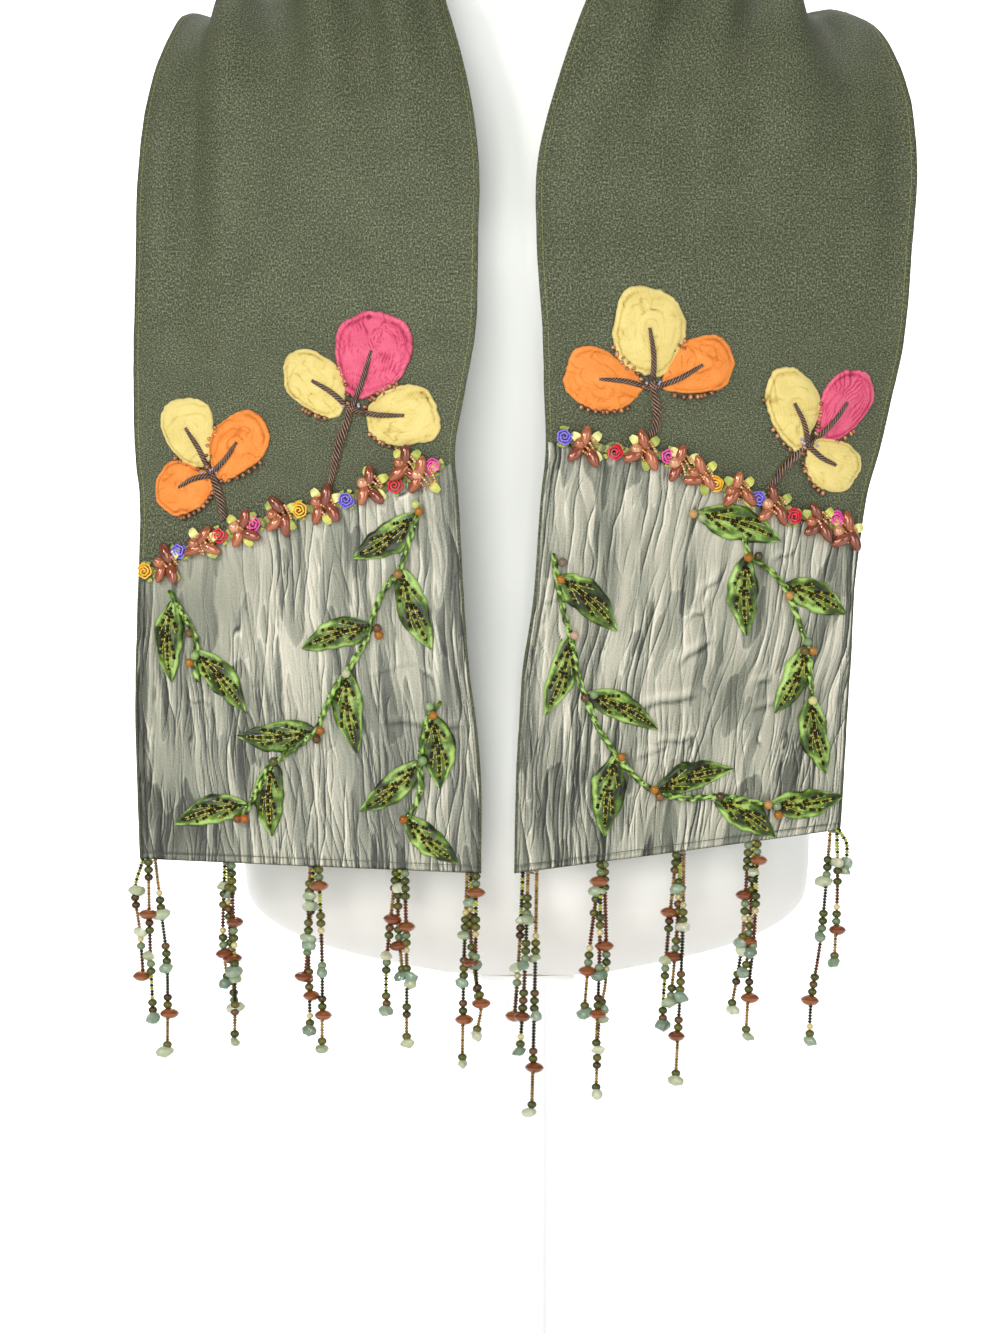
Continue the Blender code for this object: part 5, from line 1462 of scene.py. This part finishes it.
threadings = {  # from the hem down
    "a": "kykykykykwbbgggggggwtqcccccn",
    "b": "ppbggggggggnbpcccccwqpykykykypbj",
    "c": "ggggggggggtppwkkkkkbppjkkkkbpngggggpwk",
    "d": "ykykykykwpcpcccccctpqngggggpj",
    "e": "qpppccccccnqptggggpjwkkkkkpbgggggpwk",
    "f": "pqnkykykpptcccccqjkkkkkbpnggggggpwk",
    "g": "gggggggppqwkkkkkppqjccccccpbpnkkkktpj",
    "h": "kkkyyypjtbpcccccpqnggggggpqwk",
    "j": "kykykykykyjw",
}
seedLetters = "kygc"
tassels = {  # x, height down from the hem of each strand, and how it is threaded
    "tassel_left_1": ("left", (
        (((-224, 1), (-229, -16), (-226, -40), (-224, -68)), "a"),
        (((-221, 1), (-220, -40), (-218, -93)), "b"),
        (((-217, 1), (-213, -32), (-210, -61), (-210, -113)), "c"),
    )),
    "tassel_left_2": ("left", (
        (((-176, -1), (-177, -43), (-174, -70)), "d"),
        (((-172, -1), (-170, -54), (-170, -106)), "e"),
        (((-174, -1), (-173, -40), (-170, -86)), "h"),
    )),
    "tassel_left_3": ("left", (
        (((-126, 2), (-127, -40), (-126, -98)), "g"),
        (((-121, 2), (-119, -54), (-119, -109)), "f"),
        (((-124, 2), (-126, -30), (-129, -66)), "a"),
    )),
    "tassel_left_4": ("left", (
        (((-76, -1), (-81, -48), (-82, -71), (-81, -86)), "b"),
        (((-71, -1), (-70, -57), (-70, -106)), "e"),
        (((-74, -1), (-75, -30), (-72, -66)), "d"),
    )),
    "tassel_left_5": ("left", (
        (((-35, -5), (-37, -58), (-38, -117)), "c"),
        (((-30, -5), (-30, -61), (-27, -80), (-31, -101)), "f"),
        (((-33, -5), (-33, -40), (-28, -82)), "h"),
    )),
    "tassel_right_1": ("right", (
        (((-3, -5), (-5, -47), (-8, -90)), "a"),
        (((0, -5), (-2, -62), (-5, -110)), "g"),
        (((5, -5), (4, -62), (2, -144)), "c"),
    )),
    "tassel_right_2": ("right", (
        (((42, -2), (36, -44), (32, -88)), "d"),
        (((42, -3), (41, -56), (39, -109)), "f"),
        (((44, -3), (45, -62), (41, -88), (39, -134)), "e"),
    )),
    "tassel_right_3": ("right", (
        (((86, 5), (81, -40), (78, -83), (79, -96)), "b"),
        (((90, 6), (89, -47), (85, -128)), "c"),
        (((88, 5), (86, -40), (82, -83)), "h"),
    )),
    "tassel_right_4": ("right", (
        (((128, 10), (124, -47), (117, -88)), "e"),
        (((133, 12), (131, -40), (128, -71), (126, -102)), "f"),
        (((131, 11), (129, -30), (126, -66)), "d"),
    )),
    "tassel_right_5": ("right", (
        (((176, 18), (171, -40), (165, -80), (164, -107)), "g"),
        (((180, 18), (180, -20), (178, -60)), "d"),
        (((181, 18), (186, 10), (184, -6)), "j"),
    )),
}
fringeLook = {"spread": (1.4, -1.6, 1.2), "slack": 1.6}      # mm between a tassel's strands, and in its lengths


def hangingWire(path, hem, spread, wave):
    # the thread of a strand, in metres, which hangs from the hem and takes its place in depth
    route = evenPath(path, 0.5)
    _, depth, foot = readAt(route[0, 0] * mm, hem[:, 0], hem)
    z = (route[:, 1] + scarf["hem"]) * mm
    run = np.linspace(0, 1, len(route))
    z = z + (foot + 0.3 * mm - z[0]) * (1 - run) ** 4
    y = depth + spread * mm * np.minimum(1, 6 * run) + 0.6 * mm * np.sin(7 * run + wave)
    return np.stack([route[:, 0] * mm, y, z], axis=1)


def fitString(string, wanted, chooser):
    # seed beads are added or left out until the string is as long as its thread, in mm
    string = list(string)
    natural = sum(beadKinds[letter][1] for letter in string)
    seeds = [n for n, letter in enumerate(string) if letter in seedLetters]
    while natural < wanted - fringeLook["slack"]:
        n = chooser.choice(seeds)
        string[n] += string[n][0]
        natural += beadKinds[string[n][0]][1]
    while natural > wanted + fringeLook["slack"] and len(seeds) > 2:
        n = seeds.pop(chooser.randrange(len(seeds)))
        natural -= beadKinds[string[n][0]][1] * len(string[n])
        string[n] = ""
    return "".join(string)


def threadBeads(wire, string, chooser):
    along = runAlong(wire)
    copies = []
    at = 0.0
    for letter in fitString(string, along[-1] / mm, chooser):
        shape, length, scale, colours, slotNumber = beadKinds[letter]
        middle = (at + length / 2) * mm
        at += length
        if middle > along[-1] + 3 * mm:
            break
        middle = min(middle, along[-1])
        spot = readAt(middle, along, wire)
        ahead = readAt(min(middle + 1.5 * mm, along[-1]), along, wire)
        behind = readAt(max(middle - 1.5 * mm, 0), along, wire)
        scale = np.array(scale, float)
        if shape == "chip":                     # chips and nuggets are drilled off their middles
            shape = f"chip{chooser.randrange(3)}"
            scale = scale * mm * chooser.uniform(0.85, 1.12)
            spot = spot + np.array([chooser.uniform(-1.4, 1.4), chooser.uniform(-1.0, 0.4), 0]) * mm
        if shape == "nugget":
            spot = spot + np.array([chooser.uniform(-1.2, 1.2), -0.4, 0]) * mm
        place = beadAlong(spot, behind - ahead, scale, chooser.uniform(0, 6))
        copies.append((shapes[shape], place, chooser.choice(colours), slotNumber))
    return copies


def makeTassel(name, number):
    side, strands = tassels[name]
    chooser = random.Random(8800 + number)
    copies = []
    hem = stripPoints[0 if side == "left" else -1]
    hem = hem[np.argsort(hem[:, 0])]
    for k, (path, threading) in enumerate(strands):
        string = threadings[threading].rstrip(seedLetters)       # a strand ends in a large bead or a chip
        copies += threadBeads(hangingWire(path, hem, fringeLook["spread"][k], number + k), string, chooser)
    middleX = np.mean([strand[0][0][0] for strand in strands])
    _, depth, foot = readAt(middleX * mm, hem[:, 0], hem)
    for n in range(4):                           # the stitches that hold the three strands to the hem
        wrap = placed(np.diag((1.8 + 0.2 * n, 5.0, 1.4)), (
            middleX * mm + chooser.uniform(-1.0, 1.0) * mm, depth - 0.2 * mm, foot - (0.3 + 0.35 * n) * mm))
        copies.append((shapes["stitch"], wrap, chooser.choice(("#55564a", "#6d6e5e")), threadSlot))
    finishPiece(strew(f"{name}_beads", copies), "fringe_beads", name)


for tasselNumber, tasselName in enumerate(tassels):
    makeTassel(tasselName, tasselNumber)
print("fringe is threaded")


# The torso form and its stand
def smoothCopy(node, name, material, levels=2):
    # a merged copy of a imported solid, in quads, rounded by subdivision
    source = bpy.data.objects[node]
    copy = placeObject(name, source.data.copy())
    copy.matrix_world = source.matrix_world.copy()
    selectOnly(copy)
    bpy.ops.object.mode_set(mode="EDIT")
    bpy.ops.mesh.select_all(action="SELECT")
    bpy.ops.mesh.remove_doubles(threshold=0.00001)
    bpy.ops.mesh.tris_convert_to_quads(face_threshold=math.radians(60), shape_threshold=math.radians(60))
    bpy.ops.object.mode_set(mode="OBJECT")
    applyModifier(copy, "SUBSURF", levels=levels, render_levels=levels)
    bpy.ops.object.shade_smooth()
    copy.data.materials.clear()
    copy.data.materials.append(material)
    return copy


def uprightCylinder(name, low, high, radius, vertices):
    deselectAll()
    bpy.ops.mesh.primitive_cylinder_add(vertices=vertices, radius=radius, depth=high[2] - low[2],
                                        location=(0, 0, (high[2] + low[2]) / 2))
    item = bpy.context.object
    item.name = item.data.name = name
    bpy.ops.object.transform_apply(location=True, rotation=True, scale=True)
    return item


standLook = {"baseEdge": 2.0, "poleRadius": 12.5, "flange": 4.0, "step": 2.4, "poleEdge": 0.8}


def makeStand():
    coat = powderCoat()
    low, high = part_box("stand_base")
    base = uprightCylinder("standBase", low, high, (high[0] - low[0]) / 2, 128)
    applyModifier(base, "BEVEL", width=standLook["baseEdge"] * mm, segments=4, limit_method="ANGLE")
    bpy.ops.object.shade_smooth_by_angle(angle=math.radians(35))
    low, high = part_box("stand_pole")
    wider = (high[0] - low[0]) / 2 / (standLook["poleRadius"] * mm)
    pole = uprightCylinder("standPole", low, high, standLook["poleRadius"] * mm, 64)
    bpy.ops.object.mode_set(mode="EDIT")
    for end, endZ in ((-1, low[2]), (1, high[2])):           # a flange at each end
        selectFaces(pole, lambda face: face.normal.z * end > 0.9)
        bpy.ops.transform.translate(value=(0, 0, -end * (standLook["flange"] + standLook["step"]) * mm))
        bpy.ops.mesh.extrude_region_move(TRANSFORM_OT_translate={"value": (0, 0, end * standLook["step"] * mm)})
        bpy.ops.transform.resize(value=(wider, wider, 1),
                                 center_override=(0, 0, endZ - end * standLook["flange"] * mm))
        bpy.ops.mesh.extrude_region_move(TRANSFORM_OT_translate={"value": (0, 0, end * standLook["flange"] * mm)})
    bpy.ops.object.mode_set(mode="OBJECT")
    applyModifier(pole, "BEVEL", width=standLook["poleEdge"] * mm, segments=3, limit_method="ANGLE")
    bpy.ops.object.shade_smooth_by_angle(angle=math.radians(35))
    for piece, node in ((base, "stand_base"), (pole, "stand_pole")):
        piece.data.materials.append(coat)
        finishPiece(piece, "stand_metal", node)
    finishPiece(smoothCopy("form_neck_cap", "neckCap", coat), "form_shell", "form_neck_cap")


finishPiece(smoothCopy("form_torso", "torsoForm", lacquerShell), "form_shell", "form_torso")
makeStand()
print("form and stand are in place")


# Studio: a pale sweep of paper, soft lights and the camera at the photo's place
studio = {"paper": "#fafbfa", "world": 0.36, "cameraX": -16.2, "cameraZ": 447.0, "clothY": -140.0,
          "distance": 2200.0, "frameHeight": 769.0}


def makeSweep():
    paper = newMaterial("seamlessPaper", {"Base Color": linear(studio["paper"]), "Roughness": 0.9})
    turn = np.linspace(0, math.pi / 2, 13)
    curve = [(-6.0, 0.0)] + [(3.6 + 1.6 * math.sin(a), 1.6 - 1.6 * math.cos(a)) for a in turn] + [(5.2, 5.5)]
    across = np.linspace(-6, 6, 3)
    points = np.array([[(x, y, z) for x in across] for y, z in curve])
    sweep = clothGrid("paperSweep", points, 0.002, -1.0)
    sweep.data.materials.append(paper)


def addLight(name, place, aim, size, power, colour):
    light = bpy.data.lights.new(name, "AREA")
    light.shape = "RECTANGLE"
    light.size, light.size_y = size
    light.energy = power
    light.color = colour
    lamp = placeObject(name, light)
    lamp.location = place
    lamp.rotation_euler = (Vector(aim) - Vector(place)).to_track_quat("-Z", "Y").to_euler()


makeSweep()
addLight("frontLight", (-0.5, -3.1, 1.0), (0.0, -0.1, 0.45), (1.8, 1.8), 54, (1.0, 0.99, 0.97))
addLight("keyLight", (-1.5, -1.7, 1.5), (0.0, -0.1, 0.45), (0.45, 0.45), 20, (1.0, 0.99, 0.96))
addLight("fillLight", (1.8, -1.6, 0.8), (0.0, -0.1, 0.45), (1.2, 1.4), 13, (0.97, 0.98, 1.0))
addLight("topLight", (0.0, 0.0, 2.3), (0.0, 0.1, 0.5), (1.4, 1.2), 5, (1.0, 1.0, 1.0))
addLight("paperLight", (0.0, 2.6, 3.2), (0.0, 4.9, 0.5), (4.0, 1.4), 190, (1.0, 1.0, 1.0))
addLight("floorLight", (0.0, 1.4, 2.8), (0.0, 2.2, 0.0), (2.4, 0.8), 40, (1.0, 1.0, 1.0))
world = bpy.data.worlds.new("studioWorld")
world.use_nodes = True
world.node_tree.nodes["Background"].inputs["Color"].default_value = linear("#f4f6f8")
world.node_tree.nodes["Background"].inputs["Strength"].default_value = studio["world"]
bpy.context.scene.world = world
bpy.context.scene.view_settings.view_transform = "Standard"

cameraData = bpy.data.cameras.new("photoCamera")
cameraData.sensor_width = 36
cameraData.lens = cameraData.sensor_width * studio["distance"] / studio["frameHeight"]
camera = placeObject("photoCamera", cameraData)
camera.location = (studio["cameraX"] * mm, (studio["clothY"] - studio["distance"]) * mm, studio["cameraZ"] * mm)
camera.rotation_euler = (math.pi / 2, 0, 0)
bpy.context.scene.camera = camera
print("studio is lit")
